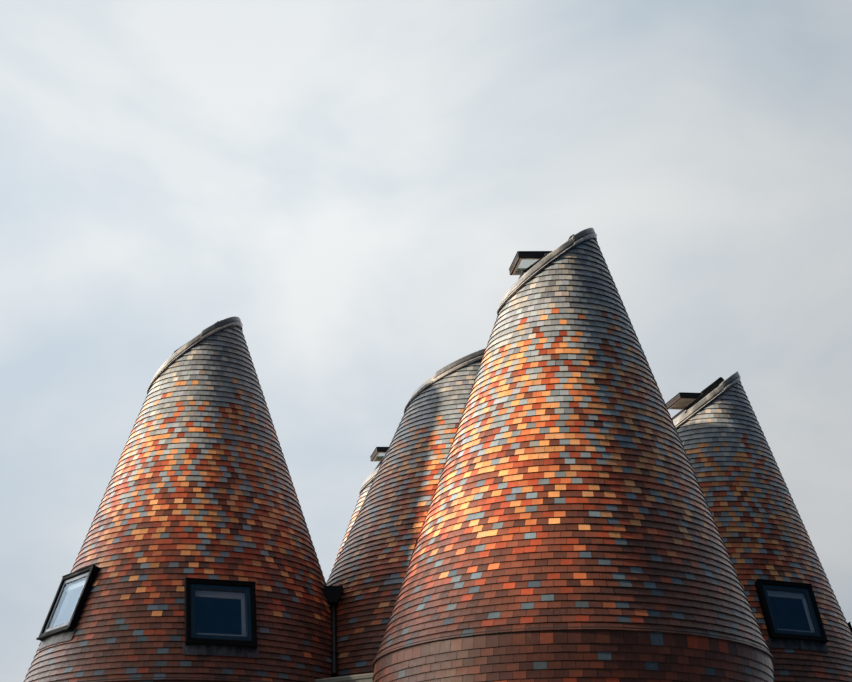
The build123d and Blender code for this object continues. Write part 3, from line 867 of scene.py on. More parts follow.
for i, n in enumerate(TOWERS):
    rng = random.Random(300 + i)
    x, y, apex, t, m, k, z0 = TOWERS[n]
    steps = 288
    girth = 2 * math.pi * face_r(n, z0)
    laps = max(5, int(round(girth / 0.75)))
    joints = sorted((2 * math.pi * (j + rng.uniform(-0.12, 0.12)) / laps) % (2 * math.pi) for j in range(laps))
    bumps = [(rng.uniform(0, 6.283), rng.uniform(4, 13), rng.uniform(0.0005, 0.0014)) for _ in range(6)]
    up_a, up_b = [math.radians(v) for v in CAP_STEP[n]]
    vs, fs, mi = [], [], []
    for q in range(steps):
        a = 2 * math.pi * q / steps
        j = max([jj for jj in joints if jj <= a], default=joints[-1] - 2 * math.pi)
        into = (a - j)
        step = 0.0034 * max(0.0, 1.0 - into / 0.30)
        raised = 0.026 if 0 < (a - up_a) % (2 * math.pi) < (up_b - up_a) % (2 * math.pi) else 0.0
        w = sum(A * math.sin(f * a + p) for p, f, A in bumps)
        for pi, (d, h) in enumerate(CAP_PROF):
            outer = pi < 23
            ww = w * (1.0 if outer else 0.2)
            st = step if outer else 0.0
            up = raised * (1.0 if 7 <= pi <= 23 else 0.0)
            vs.append(rim_point(n, a, d + st + ww + 0.25 * up * (1 if 7 <= pi <= 16 else 0),
                                h + up + (0.35 * w + 0.5 * st if 15 <= pi < 23 else 0.0)))
    P = len(CAP_PROF)
    for q in range(steps):
        q2 = (q + 1) % steps
        a = 2 * math.pi * (q + 0.5) / steps
        hooded = 0 < (a - up_a) % (2 * math.pi) < (up_b - up_a) % (2 * math.pi)
        for p in range(P):
            p2 = (p + 1) % P
            fs.append((q * P + p, q2 * P + p, q2 * P + p2, q * P + p2))
            mi.append(3 if hooded and CAP_MAT[p] == 0 else CAP_MAT[p])
    ob = piece("%s_lead_capping" % n, vs, fs, [MAT["lead"], MAT["lead_lip"], MAT["lead_shade_band"], MAT["lead_up"]],
               replaces=("%s_rim_capping" % n,), smooth=True)
    ob.data.polygons.foreach_set("material_index", mi)
    NODES["%s_roof_deck" % n].data.materials.clear()
    NODES["%s_roof_deck" % n].data.materials.append(MAT["deck"])

# ------------------------------------------------------------- roof windows
T3 = Matrix.Translation


def roof_frame(n):
    """Frame on a tower's sloping roof: x uphill, z out of the roof, origin under the roof window's middle."""
    x, y, apex, t, m, k, z0 = TOWERS[n]
    g = math.hypot(m, k)
    sl = math.atan(g)
    dx, dy = -m / g, -k / g
    mid = ROOF_WINDOWS[n][0]
    o = Vector((x + mid * dx, y + mid * dy, z0 - mid * g))
    ex = Vector((-dx * math.cos(sl), -dy * math.cos(sl), math.sin(sl)))
    ez = Vector((dx * math.sin(sl), dy * math.sin(sl), math.cos(sl)))
    ey = ez.cross(ex)
    return Matrix(((ex.x, ey.x, ez.x, o.x), (ex.y, ey.y, ez.y, o.y), (ex.z, ey.z, ez.z, o.z), (0, 0, 0, 1))), sl


def roof_room(n, p):
    """Distance inside the capping's inner lip, for a point of the sloping roof."""
    x, y, apex, t = TOWERS[n][:4]
    return (apex - p.z) * t - 0.175 - math.hypot(p.x - x, p.y - y)


casing, sash, apron, seams, pane = Build(), Build(), Build(), Build(), Build()
for n in TOWERS:
    M, sl = roof_frame(n)
    mid, tilt, rise, piv = ROOF_WINDOWS[n]
    hl, hw = RW_L / 2, RW_W / 2
    rail = (RW_W - RW_IN_W) / 2
    hood = rise
    if n == "front":
        rise -= 0.026
    # timber lining inside, then the grey metal casing over it
    for sy in (-1, 1):
        ya, yb = sorted((sy * (hw - rail), sy * (hw - 0.012)))
        casing.box(M, (-hl + 0.012, ya, 0.0), (0.0, yb, RW_H - 0.004), 0.002, 1)
        casing.box(M, (0.0, ya, 0.0), (hl - 0.012, yb, rise - 0.004), 0.002, 1)
        ya, yb = sorted((sy * (hw - 0.013), sy * hw))
        casing.box(M, (-hl, ya, 0.001), (-0.002, yb, RW_H + 0.002), 0.003, 0)
        casing.box(M, (0.002, ya, 0.001), (hl - 0.02, yb, rise + 0.002), 0.003, 0)
        if rise > RW_H + 0.01:                                              # end face of the higher half
            ye, yf = sorted((sy * (hw - rail - 0.001), sy * (hw - 0.002)))
            casing.box(M, (-0.010, ye, RW_H - 0.012), (0.003, yf, rise + 0.003), 0.002, 0)
        ya, yb = sorted((sy * (hw - rail - 0.004), sy * (hw + 0.004)))
        casing.box(M, (-hl - 0.004, ya, RW_H - 0.010), (-0.003, yb, RW_H + 0.004), 0.004, 0)
        casing.box(M, (0.003, ya, rise - 0.010), (hl - 0.03, yb, rise + 0.004), 0.004, 0)
        # pivot plate
        ya, yb = sorted((sy * (hw - rail - 0.002), sy * (hw - rail - 0.009)))
        casing.box(M, (-0.045, ya, min(piv, RW_H - 0.015) - 0.02), (0.045, yb, min(piv, RW_H - 0.015) + 0.012), 0.002, 2)
    casing.box(M, (-hl + 0.012, -hw + rail, 0.0), (-hl + rail, hw - rail, RW_H - 0.006), 0.002, 1)
    casing.box(M, (-hl, -hw + 0.005, 0.001), (-hl + 0.013, hw - 0.005, RW_H + 0.003), 0.003, 0)
    casing.box(M, (-hl - 0.003, -hw + 0.006, RW_H - 0.012), (-hl + rail + 0.003, hw - 0.006, RW_H + 0.005), 0.004, 0)
    casing.box(M, (hl - rail, -hw + rail, 0.0), (hl - 0.012, hw - rail, rise - 0.006), 0.002, 1)
    # rounded hood over the upper end
    r = min(0.042, hood * 0.45)
    sec = [(hl - 0.085, hood + 0.006), (hl - r, hood + 0.006)]
    sec += [(hl - r + r * math.sin(math.radians(b)), hood + 0.006 - r + r * math.cos(math.radians(b))) for b in (20, 40, 60, 80, 90)]
    sec += [(hl, 0.002), (hl - 0.012, 0.002), (hl - 0.012, hood - 0.010 - r * 0.4), (hl - 0.03, hood - 0.012), (hl - 0.085, hood - 0.012)]
    hv = [M @ Vector((px, sy * (hw + 0.004), pz)) for sy in (-1, 1) for px, pz in sec]
    K = len(sec)
    hf = [tuple(range(K)), tuple(range(2 * K - 1, K - 1, -1))]
    hf += [(c, c + K, (c + 1) % K + K, (c + 1) % K) for c in range(K)]
    casing.add(hv, hf, 0)
    # the sash
    q = 0.0 if tilt is None else sl - math.radians(tilt)
    A = M @ T3((0, 0, piv)) @ Matrix.Rotation(q, 4, "Y")
    L2, W2 = SASH_L / 2, SASH_W / 2
    # the outer part of the rails is dark timber, darkened further as painted shade on the sash's underside
    sash.ring(A, L2 - 0.006, W2 - 0.006, 0.034, -0.050, 0.020, 0.004, 5)                        # outer part of the rails
    sash.ring(A, L2 - 0.030, W2 - 0.028, 0.032, -0.057, 0.018, 0.003, 0)                        # inner timber bead
    sash.box(A, (-L2 + 0.064, W2 - 0.075, -0.057), (L2 - 0.064, W2 - 0.058, -0.046), 0.002, 0)
    if n == "right":                                                                            # drawn blind
        sash.box(A, (-L2 + 0.053, -W2 + 0.053, -0.030), (L2 - 0.053, W2 - 0.053, -0.024), 0.001, 6)
    sash.box(A, (-L2, -W2 + 0.005, 0.002), (-L2 + 0.005, W2 - 0.005, 0.040), 0.0015, 1)         # cladding sides
    sash.box(A, (L2 - 0.005, -W2 + 0.005, -0.047), (L2, W2 - 0.005, 0.040), 0.0015, 1)
    sash.box(A, (-L2, -W2, -0.047), (L2, -W2 + 0.005, 0.040), 0.0015, 1)
    sash.box(A, (-L2, W2 - 0.005, -0.047), (L2, W2, 0.040), 0.0015, 1)
    sash.ring(A, L2, W2, 0.052, 0.027, 0.042, 0.004, 1)                                         # cladding top
    sash.ring(A, L2 + 0.008, W2 + 0.008, 0.014, 0.036, 0.047, 0.003, 4)                         # drip edge
    sash.ring(A, L2 - 0.046, W2 - 0.046, 0.012, -0.003, 0.030, 0.003, 2)                        # glazing seal
    sash.ring(A, L2 - 0.050, W2 - 0.050, 0.018, 0.004, 0.020, 0.001, 3)                         # spacer
    sash.box(A, (L2 - 0.046, -0.22, -0.052), (L2 - 0.022, 0.22, -0.040), 0.004, 3)              # opening bar
    pane.box(A, (-L2 + 0.051, -W2 + 0.051, 0.000), (L2 - 0.051, W2 - 0.051, 0.024), 0.002, 0)
    for sy in (-1, 1):
        ya, yb = sorted((sy * (W2 + 0.0005), sy * (W2 - 0.006)))
        sash.box(A, (-0.055, ya, -0.034), (0.055, yb, 0.010), 0.002, 3)
    # lead apron downhill and flat soakers at the sides
    rng = random.Random(800 + len(apron.v))
    low_edge = []
    nx_, ny_ = 8, 22
    reach = 0.165 if n != "right" else 0.19
    # shorten the sheet where the capping comes close
    while reach > 0.05 and min(roof_room(n, M @ Vector((-hl - reach, sy * 0.43, 0.0))) for sy in (-1, 1)) < 0.0:
        reach -= 0.01
    top_v, bot_v = [], []
    for a_ in range(nx_ + 1):
        for b_ in range(ny_ + 1):
            u = -hl - 0.001 - reach * a_ / nx_
            v = -0.445 + 0.89 * b_ / ny_
            wv = 0.0045 + 0.0022 * math.sin(v * 31 + a_ * 0.7) + rng.uniform(0, 0.0008)
            if a_ == 0:
                wv = 0.022
            elif a_ == 1:
                wv = 0.010
            top_v.append(M @ Vector((u, v, wv)))
            bot_v.append(M @ Vector((u, v, 0.0004)))
    o_ = len(top_v)
    fs_ = []
    R_ = ny_ + 1
    for a_ in range(nx_):
        for b_ in range(ny_):
            c = a_ * R_ + b_
            fs_.append((c, c + R_, c + R_ + 1, c + 1))
            fs_.append((c + o_, c + 1 + o_, c + R_ + 1 + o_, c + R_ + o_))
    for a_ in range(nx_):
        c = a_ * R_
        fs_.append((c, c + o_, c + R_ + o_, c + R_))
        c = a_ * R_ + ny_
        fs_.append((c, c + R_, c + R_ + o_, c + o_))
    for b_ in range(ny_):
        fs_.append((b_, b_ + 1, b_ + 1 + o_, b_ + o_))
        c = nx_ * R_ + b_
        fs_.append((c, c + o_, c + 1 + o_, c + 1))
    apron.add(top_v + bot_v, fs_, 0)
    for sy in (-1, 1):
        ya, yb = sorted((sy * (hw + 0.001), sy * (hw + 0.055)))
        if roof_room(n, M @ Vector((hl, sy * (hw + 0.055), 0))) > 0:
            apron.box(M, (-hl + 0.004, ya, 0.0004), (hl + 0.04, yb, 0.005), 0.0015, 0)
    # standing seams down the slope, left out under the window and its apron
    for v0 in (-1.44, -0.96, -0.49, 0.0, 0.49, 0.96, 1.44):
        us = [-2.6 + 0.02 * c for c in range(260)]
        runs, cur = [], []
        for u in us:
            P3 = M @ Vector((u, v0, 0))
            ok = roof_room(n, P3) > 0.012
            if abs(v0) < 0.47 and -hl - reach - 0.02 < u < hl + 0.05:
                ok = False
            if ok:
                cur.append(u)
            elif cur:
                runs.append(cur)
                cur = []
        if cur:
            runs.append(cur)
        for c_ in runs:
            if c_[-1] - c_[0] > 0.10:
                seams.box(M, (c_[0], v0 - 0.016, 0.0), (c_[-1], v0 + 0.016, 0.006), 0.002, 0)
                seams.box(M, (c_[0] + 0.004, v0 - 0.006, 0.004), (c_[-1] - 0.004, v0 + 0.006, 0.024), 0.003, 0)
casing.make("roof_window_casings", [MAT["dark_grey"], MAT["pine"], MAT["steel"]], "grey_cladding", replaces=("roof_window_frames",))
sash.make("roof_window_open_sashes", [MAT["pine"], MAT["dark_grey"], MAT["seal"], MAT["steel"], MAT["black"], MAT["brown"], MAT["blind"]], "pine_sash",
          replaces=("roof_window_sashes",))
pane.make("roof_window_panes", [MAT["roof_glass"]], "roof_glass", replaces=("roof_window_glass",))
apron.make("roof_window_lead_aprons", [MAT["lead"]], "lead_apron")
seams.make("roof_standing_seams", [MAT["deck"]], "lead_deck")

# ------------------------------------------------------------- wall windows
cw, cwl, dwn, sills = Build(), Build(), Build(), Build()
for n in OUTER:
    for w in window_frames_of(n, True):
        M = frame_matrix(w)
        hx, hy = CW_W / 2, CW_L / 2
        cw.box(M, (-hx, -hy, -0.040), (-hx + 0.062, hy, 0.040), 0.005, 0)
        cw.box(M, (hx - 0.062, -hy, -0.040), (hx, hy, 0.040), 0.005, 0)
        cw.box(M, (-hx + 0.062, hy - 0.062, -0.040), (hx - 0.062, hy, 0.040), 0.005, 0)
        cw.box(M, (-hx + 0.062, -hy, -0.040), (hx - 0.062, -hy + 0.080, 0.040), 0.005, 0)
        cw.box(M, (-hx - 0.010, -hy - 0.012, 0.022), (hx + 0.010, -hy + 0.020, 0.058), 0.006, 0)     # sill nosing
        cw.box(M, (-hx - 0.006, hy - 0.006, 0.024), (hx + 0.006, hy + 0.010, 0.050), 0.004, 0)       # head drip
        for sx_ in (-1, 1):                                                                           # cheeks down to the tiles
            xa, xb = sorted((sx_ * (hx - 0.007), sx_ * (hx + 0.003)))
            cw.box(M, (xa, -hy - 0.002, -0.125), (xb, hy + 0.002, 0.030), 0.002, 0)
        cwl.ring(M, hx - 0.008, hy - 0.002, 0.056, -0.150, -0.041, 0.003, 0)                          # pale lining
        I = M @ T3((0, 0.009, 0))
        cw.ring(I, hx - 0.066, hy - 0.075, 0.068, -0.034, 0.016, 0.005, 1)                            # sash
        cw.ring(I, hx - 0.132, hy - 0.141, 0.009, -0.030, 0.007, 0.002, 2)                            # glazing seal
        ox, oy = hx - 0.139, hy - 0.148
        cwl.box(I, (-ox - 0.03, oy - 0.074, -0.062), (ox + 0.03, oy + 0.03, -0.046), 0.003, 1)         # pale inner frame
        # paler strip under the top bar: painted highlight where the inner corner catches the light
        cwl.box(I, (-ox - 0.01, oy - 0.090, -0.066), (ox - 0.04, oy - 0.074, -0.042), 0.003, 4)
        cwl.box(I, (ox - 0.058, -oy - 0.03, -0.062), (ox + 0.03, oy - 0.075, -0.046), 0.003, 1)
        cwl.box(I, (-ox - 0.03, -oy - 0.03, -0.062), (-ox + 0.016, oy - 0.075, -0.048), 0.003, 3)
        cwl.box(I, (-ox + 0.017, -oy - 0.03, -0.062), (ox - 0.059, -oy + 0.056, -0.048), 0.003, 1)
        cwl.box(I, (-0.012, -hy + 0.075, -0.066), (0.012, -hy + 0.120, -0.048), 0.003, 2)             # handle plate
        cwl.box(I, (-0.010, -hy + 0.092, -0.084), (0.100, -hy + 0.108, -0.068), 0.004, 2)
    for w in window_frames_of(n, False):
        M = frame_matrix(w)
        hx, hy = DW_W / 2, DW_H / 2
        dwn.ring(M, hx, hy, 0.062, -0.050, 0.022, 0.005, 0)
        cwl.ring(M, hx, hy, 0.064, -0.110, -0.052, 0.003, 0)
        dwn.ring(M, hx - 0.066, hy - 0.066, 0.060, -0.062, -0.006, 0.005, 1)
        dwn.ring(M, hx - 0.124, hy - 0.124, 0.009, -0.058, -0.016, 0.002, 2)
        cwl.ring(M, hx - 0.100, hy - 0.100, 0.066, -0.090, -0.074, 0.004, 1)
        cwl.box(M, (-0.012, -hy + 0.070, -0.094), (0.012, -hy + 0.115, -0.076), 0.003, 2)
        cwl.box(M, (-0.010, -hy + 0.085, -0.112), (0.100, -hy + 0.101, -0.096), 0.004, 2)
        # trims over the cut tiles, drip at the head, sloping sill
        for sx_ in (-1, 1):
            xa, xb = sorted((sx_ * (hx - 0.002), sx_ * (hx + 0.014)))
            sills.box(M, (xa, -hy, 0.010), (xb, hy + 0.014, 0.082), 0.003, 0)
        sills.box(M, (-hx + 0.002, hy - 0.002, 0.010), (hx - 0.002, hy + 0.014, 0.085), 0.003, 0)
        sv = []
        for px in (-hx - 0.03, hx + 0.03):
            for pz, py in ((0.010, -hy + 0.018), (0.112, -hy - 0.002), (0.112, -hy - 0.030), (0.104, -hy - 0.030),
                           (0.102, -hy - 0.012), (0.010, -hy - 0.004)):
                sv.append(M @ Vector((px, py, pz)))
        sills.add(sv, [(0, 1, 2, 3, 4, 5), (11, 10, 9, 8, 7, 6)] + [(c, c + 6, (c + 1) % 6 + 6, (c + 1) % 6) for c in range(6)], 0)
cw.make("cone_window_black_frames", [MAT["black"], MAT["blue_frame"], MAT["seal"]], "black_frame", replaces=("cone_window_frames",))
cwl.make("window_linings", [MAT["white_lining"], MAT["pale_bar"], MAT["steel"], MAT["blue_frame"], MAT["highlight_edge"]], "black_frame")
dwn.make("drum_window_black_frames", [MAT["black"], MAT["blue_frame"], MAT["seal"]], "black_frame", replaces=("drum_window_frames",))
sills.make("drum_window_sills_and_trims", [MAT["black"]], "black_frame")

# -------------------------------------------------------------------- links
ld, lw = Build(), Build()
for k in LINKS:
    M = Matrix(((k["ux"], 0, k["nx"], k["mx"]), (k["uy"], 0, k["ny"], k["my"]), (0, 1, 0, 0), (0, 0, 0, 1)))
    o = k["out"]
    h = k["dw"] / 2
    D = M @ T3((0, (PLINTH_TOP + DOOR_HEAD) / 2, 0))
    hh = (DOOR_HEAD - PLINTH_TOP) / 2
    ld.box(D, (-h, -hh, o - 0.145), (-h + 0.045, hh, o - 0.045), 0.004, 0)
    ld.box(D, (h - 0.045, -hh, o - 0.145), (h, hh, o - 0.045), 0.004, 0)
    ld.box(D, (-h + 0.045, hh - 0.045, o - 0.145), (h - 0.045, hh, o - 0.045), 0.004, 0)
    ld.box(D, (-h + 0.045, -hh, o - 0.150), (h - 0.045, -hh + 0.022, o - 0.030), 0.004, 2)           # threshold
    ld.box(D, (-h + 0.049, -hh + 0.028, o - 0.128), (-h + 0.128, hh - 0.049, o - 0.066), 0.004, 0)
    ld.box(D, (h - 0.128, -hh + 0.028, o - 0.128), (h - 0.049, hh - 0.049, o - 0.066), 0.004, 0)
    ld.box(D, (-h + 0.128, hh - 0.145, o - 0.128), (h - 0.128, hh - 0.049, o - 0.066), 0.004, 0)
    ld.box(D, (-h + 0.128, -hh + 0.028, o - 0.128), (h - 0.128, -hh + 0.165, o - 0.066), 0.004, 0)
    ld.box(D, (-h + 0.060, -hh + 0.040, o - 0.067), (h - 0.060, -hh + 0.150, o - 0.0635), 0.001, 2)  # kick plate
    G = D @ T3((0, 0.010, 0))
    ld.ring(G, h - 0.128, hh - 0.155, 0.014, o - 0.112, o - 0.072, 0.003, 1)                          # glazing bead
    for hz in (-hh + 0.28, 0.05, hh - 0.28):                                                         # hinges
        ld.sweep([D @ Vector((-h + 0.047, hz - 0.055, o - 0.058)), D @ Vector((-h + 0.047, hz + 0.055, o - 0.058))], 0.0085, 14, 2)
    hy_ = 1.05 - (DOOR_HEAD - PLINTH_TOP) / 2
    hx_ = h - 0.089
    ld.box(D, (hx_ - 0.021, hy_ - 0.11, o - 0.068), (hx_ + 0.021, hy_ + 0.11, o - 0.060), 0.003, 2)  # handle plate
    ld.sweep([D @ Vector((hx_, hy_ + 0.03, o - 0.062)), D @ Vector((hx_, hy_ + 0.03, o - 0.030)),
              D @ Vector((hx_ - 0.006, hy_ + 0.03, o - 0.020)), D @ Vector((hx_ - 0.030, hy_ + 0.03, o - 0.016)),
              D @ Vector((hx_ - 0.125, hy_ + 0.03, o - 0.016))], [0.010, 0.010, 0.010, 0.0095, 0.008], 14, 2)
    ld.sweep([D @ Vector((hx_, hy_ - 0.055, o - 0.064)), D @ Vector((hx_, hy_ - 0.055, o - 0.056))], 0.010, 16, 2)
    U = M @ T3((0, (2.950 + UP_HEAD) / 2, 0))
    uh = (UP_HEAD - 2.950) / 2
    lw.ring(U, h, uh, 0.058, o - 0.140, o - 0.048, 0.005, 0)
    lw.ring(U, h - 0.061, uh - 0.061, 0.042, o - 0.122, o - 0.068, 0.004, 1)
    lw.ring(U, h - 0.101, uh - 0.101, 0.010, o - 0.116, o - 0.076, 0.002, 2)
    lw.box(U, (-h - 0.03, -uh - 0.028, o - 0.050), (h + 0.03, -uh + 0.004, o + 0.035), 0.004, 0)      # sill
    lw.box(U, (-h - 0.02, uh, o - 0.010), (h + 0.02, uh + 0.014, o + 0.022), 0.003, 0)                # head drip
    lw.box(D, (-h - 0.02, hh, o - 0.010), (h + 0.02, hh + 0.014, o + 0.022), 0.003, 0)
ld.make("link_glazed_doors", [MAT["black"], MAT["seal"], MAT["steel"]], "black_frame", replaces=("link_doors",))
lw.make("link_black_windows", [MAT["black"], MAT["blue_frame"], MAT["seal"]], "black_frame", replaces=("link_window_frames",))

# ---------------------------------------------------------- rainwater goods
P_TOP, P_BOT = Vector((-2.139, -1.625, 7.341)), Vector((-2.066, -2.495, 6.120))
rw = Build()
Hm = T3((P_TOP.x, P_TOP.y, P_TOP.z))
rw.ring(Hm, 0.139, 0.118, 0.022, 0.228, 0.256, 0.006, 0)      # rim bead
rw.ring(Hm, 0.135, 0.114, 0.010, 0.146, 0.156, 0.003, 0)
rw.box(Hm, (-0.012, -0.120, 0.020), (0.012, -0.105, 0.235), 0.003, 0)
d_ = (P_BOT - P_TOP)
ln_ = d_.length
d_.normalize()
for f0 in (0.02, 0.34, 0.68):
    c = P_TOP + d_ * (ln_ * f0)
    rw.sweep([c, c + d_ * 0.006, c + d_ * 0.044, c + d_ * 0.050], [0.044, 0.048, 0.048, 0.044], 28, 0)
    for sx_ in (-1, 1):
        e_ = Vector((sx_, 0, 0))
        rw.sweep([c + d_ * 0.025 + e_ * 0.044, c + d_ * 0.025 + e_ * 0.066], 0.009, 10, 0)
rw.make("rainwater_collars", [MAT["rain"]], "black_rainwater")

# --------------------------------------------------------- walls and floors
def give(node, mat):
    me = NODES[node].data
    if len(me.materials) == 0:
        me.materials.append(mat)
    for j in range(len(me.materials)):
        me.materials[j] = mat


for n in TOWERS:
    x, y, apex, t = TOWERS[n][:4]
    give("%s_cone_wall" % n, wall_material("%s_cone_lining" % n, x, y, 0, apex, t))
for n in OUTER:
    x, y = TOWERS[n][:2]
    wm = wall_material("%s_drum_lining" % n, x, y, R_OUT[n] + 0.03)
    give("%s_drum_wall_left" % n, wm)
    give("%s_drum_wall_right" % n, wm)
give("centre_drum_piers", PLASTER)
give("centre_door_heads", PLASTER)
give("first_floors", MAT["floor"])
give("second_floors", MAT["floor"])
give("ground_slab", MAT["concrete"])
give("link_walls", MAT["render"])
give("link_copings", MAT["coping"])
give("link_roofs", MAT["deck"])
give("link_doors", MAT["black"])
give("link_window_frames", MAT["black"])
give("link_glass", MAT["glass"])
give("cone_window_frames", MAT["black"])
give("cone_window_glass", MAT["glass"])
give("cone_window_aprons", apron_material("dressed_lead_apron"))
give("drum_window_frames", MAT["black"])
give("drum_window_glass", MAT["glass"])
give("rain_hopper", MAT["rain"])
give("downpipe", MAT["rain"])

# -------------------------------------------------------------- floor, light
bm = bmesh.new()
bmesh.ops.create_circle(bm, cap_ends=True, radius=18.0, segments=128)
me = bpy.data.meshes.new("studio_floor")
bm.to_mesh(me)
bm.free()
floor = bpy.data.objects.new("studio_floor", me)
bpy.context.scene.collection.objects.link(floor)
fm = Mat("studio_floor", rough=0.85)
fm.color(fm.times((0.42, 0.42, 0.41), fm.fit(fm.noise(0.35, 3.0), 0.3, 0.7, 0.97, 1.03)))
me.materials.append(fm.m)

sun = bpy.data.lights.new("sun", "SUN")
sun.energy = 10.6
sun.color = (1.0, 0.80, 0.60)
sun.angle = math.radians(2.2)
so = bpy.data.objects.new("sun", sun)
saz, sel = math.radians(-171.0), math.radians(17.0)
sd = Vector((math.cos(saz) * math.cos(sel), math.sin(saz) * math.cos(sel), math.sin(sel)))
so.rotation_mode = "QUATERNION"
so.rotation_quaternion = sd.to_track_quat("Z", "Y")
bpy.context.scene.collection.objects.link(so)

# a soft flag far out to the left: dims the sun in a broad band over the eaves
flag_me = bpy.data.meshes.new("studio_flag")
flag_me.from_pydata([(-30, -40, 4), (-30, 30, 4), (-30, 30, 22), (-30, -40, 22)], [], [(0, 1, 2, 3)])
flag = bpy.data.objects.new("studio_flag", flag_me)
bpy.context.scene.collection.objects.link(flag)
fl = bpy.data.materials.new("studio_flag")
fl.use_nodes = True
ft = fl.node_tree
ft.nodes.clear()


def fmath(op, a, b):
    n = ft.nodes.new("ShaderNodeMath")
    n.operation = op
    for sock, v in zip(n.inputs, (a, b)):
        if isinstance(v, bpy.types.NodeSocket):
            ft.links.new(v, sock)
        else:
            sock.default_value = v
    return n.outputs[0]


def fstep(v, a, b):
    n = ft.nodes.new("ShaderNodeMapRange")
    n.interpolation_type = "SMOOTHSTEP"
    ft.links.new(v, n.inputs["Value"])
    n.inputs["From Min"].default_value, n.inputs["From Max"].default_value = a, b
    return n.outputs[0]


fo = ft.nodes.new("ShaderNodeOutputMaterial")
fc = ft.nodes.new("ShaderNodeTexCoord")
fs_ = ft.nodes.new("ShaderNodeSeparateXYZ")
ft.links.new(fc.outputs["Object"], fs_.inputs[0])
fy = fmath("ADD", fs_.outputs[1], 4.9)
fn_ = ft.nodes.new("ShaderNodeTexNoise")
fn_.inputs["Scale"].default_value = 0.55
fn_.inputs["Detail"].default_value = 2.0
ft.links.new(fc.outputs["Object"], fn_.inputs["Vector"])
wob = fmath("MULTIPLY", fmath("SUBTRACT", fn_.outputs["Fac"], 0.5), 0.7)
fz = fmath("ADD", fmath("SUBTRACT", fmath("SUBTRACT", fs_.outputs[2], 7.49), fmath("MULTIPLY", fy, 0.15)), wob)
top = fmath("SUBTRACT", 1.0, fstep(fz, 8.45, 9.50))
deep = fmath("ADD", 0.79, fmath("MULTIPLY", fmath("SUBTRACT", 1.0, fstep(fz, 5.8, 7.6)), 0.11))
foot = fstep(fmath("ADD", fz, fmath("MULTIPLY", fy, 0.50)), 3.3, 4.8)
cover = fmath("MULTIPLY", fmath("MULTIPLY", top, deep), foot)
ftr = ft.nodes.new("ShaderNodeBsdfTransparent")
fdf = ft.nodes.new("ShaderNodeBsdfDiffuse")
fdf.inputs["Color"].default_value = (0.0, 0.0, 0.0, 1.0)
fmx = ft.nodes.new("ShaderNodeMixShader")
ft.links.new(cover, fmx.inputs[0])
ft.links.new(ftr.outputs[0], fmx.inputs[1])
ft.links.new(fdf.outputs[0], fmx.inputs[2])
ft.links.new(fmx.outputs[0], fo.inputs[0])
flag_me.materials.append(fl)
flag.visible_camera = False
flag.visible_diffuse = False
flag.visible_glossy = False
flag.visible_transmission = False

# pale backdrop; the soft light comes mostly from the left and the back
world = bpy.data.worlds.new("studio_sky")
bpy.context.scene.world = world
world.use_nodes = True
wt = world.node_tree
wt.nodes.clear()


def wn(kind, **inp):
    n = wt.nodes.new(kind)
    for k, v in inp.items():
        n.inputs[int(k[1:])].default_value = v
    return n


wo = wn("ShaderNodeOutputWorld")
tc = wn("ShaderNodeTexCoord")
glow = wn("ShaderNodeVectorMath")
glow.operation = "DOT_PRODUCT"
ga, ge = math.radians(158.0), math.radians(22.0)
glow.inputs[1].default_value = (math.cos(ga) * math.cos(ge), math.sin(ga) * math.cos(ge), math.sin(ge))
wt.links.new(tc.outputs["Generated"], glow.inputs[0])
mr = wn("ShaderNodeMapRange")
mr.inputs["From Min"].default_value, mr.inputs["From Max"].default_value = -1.0, 1.0
wt.links.new(glow.outputs["Value"], mr.inputs["Value"])
rp = wn("ShaderNodeValToRGB")
stops = [(0.0, (0.040, 0.079, 0.132)), (0.36, (0.068, 0.115, 0.178)), (0.56, (0.22, 0.26, 0.31)),
         (0.76, (0.50, 0.55, 0.60)), (1.0, (1.0, 0.98, 0.92))]
e = rp.color_ramp.elements
while len(e) < len(stops):
    e.new(0.5)
for k, (p, c) in enumerate(stops):
    e[k].position = p
for k, (p, c) in enumerate(stops):
    e[k].color = (*c, 1.0)
wt.links.new(mr.outputs[0], rp.inputs[0])
# bright haze round one direction
haze = wn("ShaderNodeVectorMath")
haze.operation = "DOT_PRODUCT"
ha, he = math.radians(147.0), math.radians(27.0)
haze.inputs[1].default_value = (math.cos(ha) * math.cos(he), math.sin(ha) * math.cos(he), math.sin(he))
wt.links.new(tc.outputs["Generated"], haze.inputs[0])
hm = wn("ShaderNodeMapRange")
hm.interpolation_type = "SMOOTHSTEP"
hm.inputs["From Min"].default_value, hm.inputs["From Max"].default_value = math.cos(math.radians(26.0)), 1.0
hm.inputs["To Max"].default_value = 2.9
wt.links.new(haze.outputs["Value"], hm.inputs["Value"])
hs = wn("ShaderNodeVectorMath")
hs.operation = "ADD"
wt.links.new(rp.outputs[0], hs.inputs[0])
wt.links.new(hm.outputs[0], hs.inputs[1])
# open sky behind, seen by the back of the building
rear_sky = wn("ShaderNodeVectorMath")
rear_sky.operation = "DOT_PRODUCT"
ra, re_ = math.radians(92.0), math.radians(35.0)
rear_sky.inputs[1].default_value = (math.cos(ra) * math.cos(re_), math.sin(ra) * math.cos(re_), math.sin(re_))
wt.links.new(tc.outputs["Generated"], rear_sky.inputs[0])
rm = wn("ShaderNodeMapRange")
rm.interpolation_type = "SMOOTHSTEP"
rm.inputs["From Min"].default_value, rm.inputs["From Max"].default_value = math.cos(math.radians(66.0)), 1.0
rm.inputs["To Max"].default_value = 0.80
wt.links.new(rear_sky.outputs["Value"], rm.inputs["Value"])
h2 = wn("ShaderNodeVectorMath")
h2.operation = "ADD"
wt.links.new(hs.outputs[0], h2.inputs[0])
wt.links.new(rm.outputs[0], h2.inputs[1])
bg_light = wn("ShaderNodeBackground")
wt.links.new(h2.outputs[0], bg_light.inputs["Color"])
lp = wn("ShaderNodeLightPath")
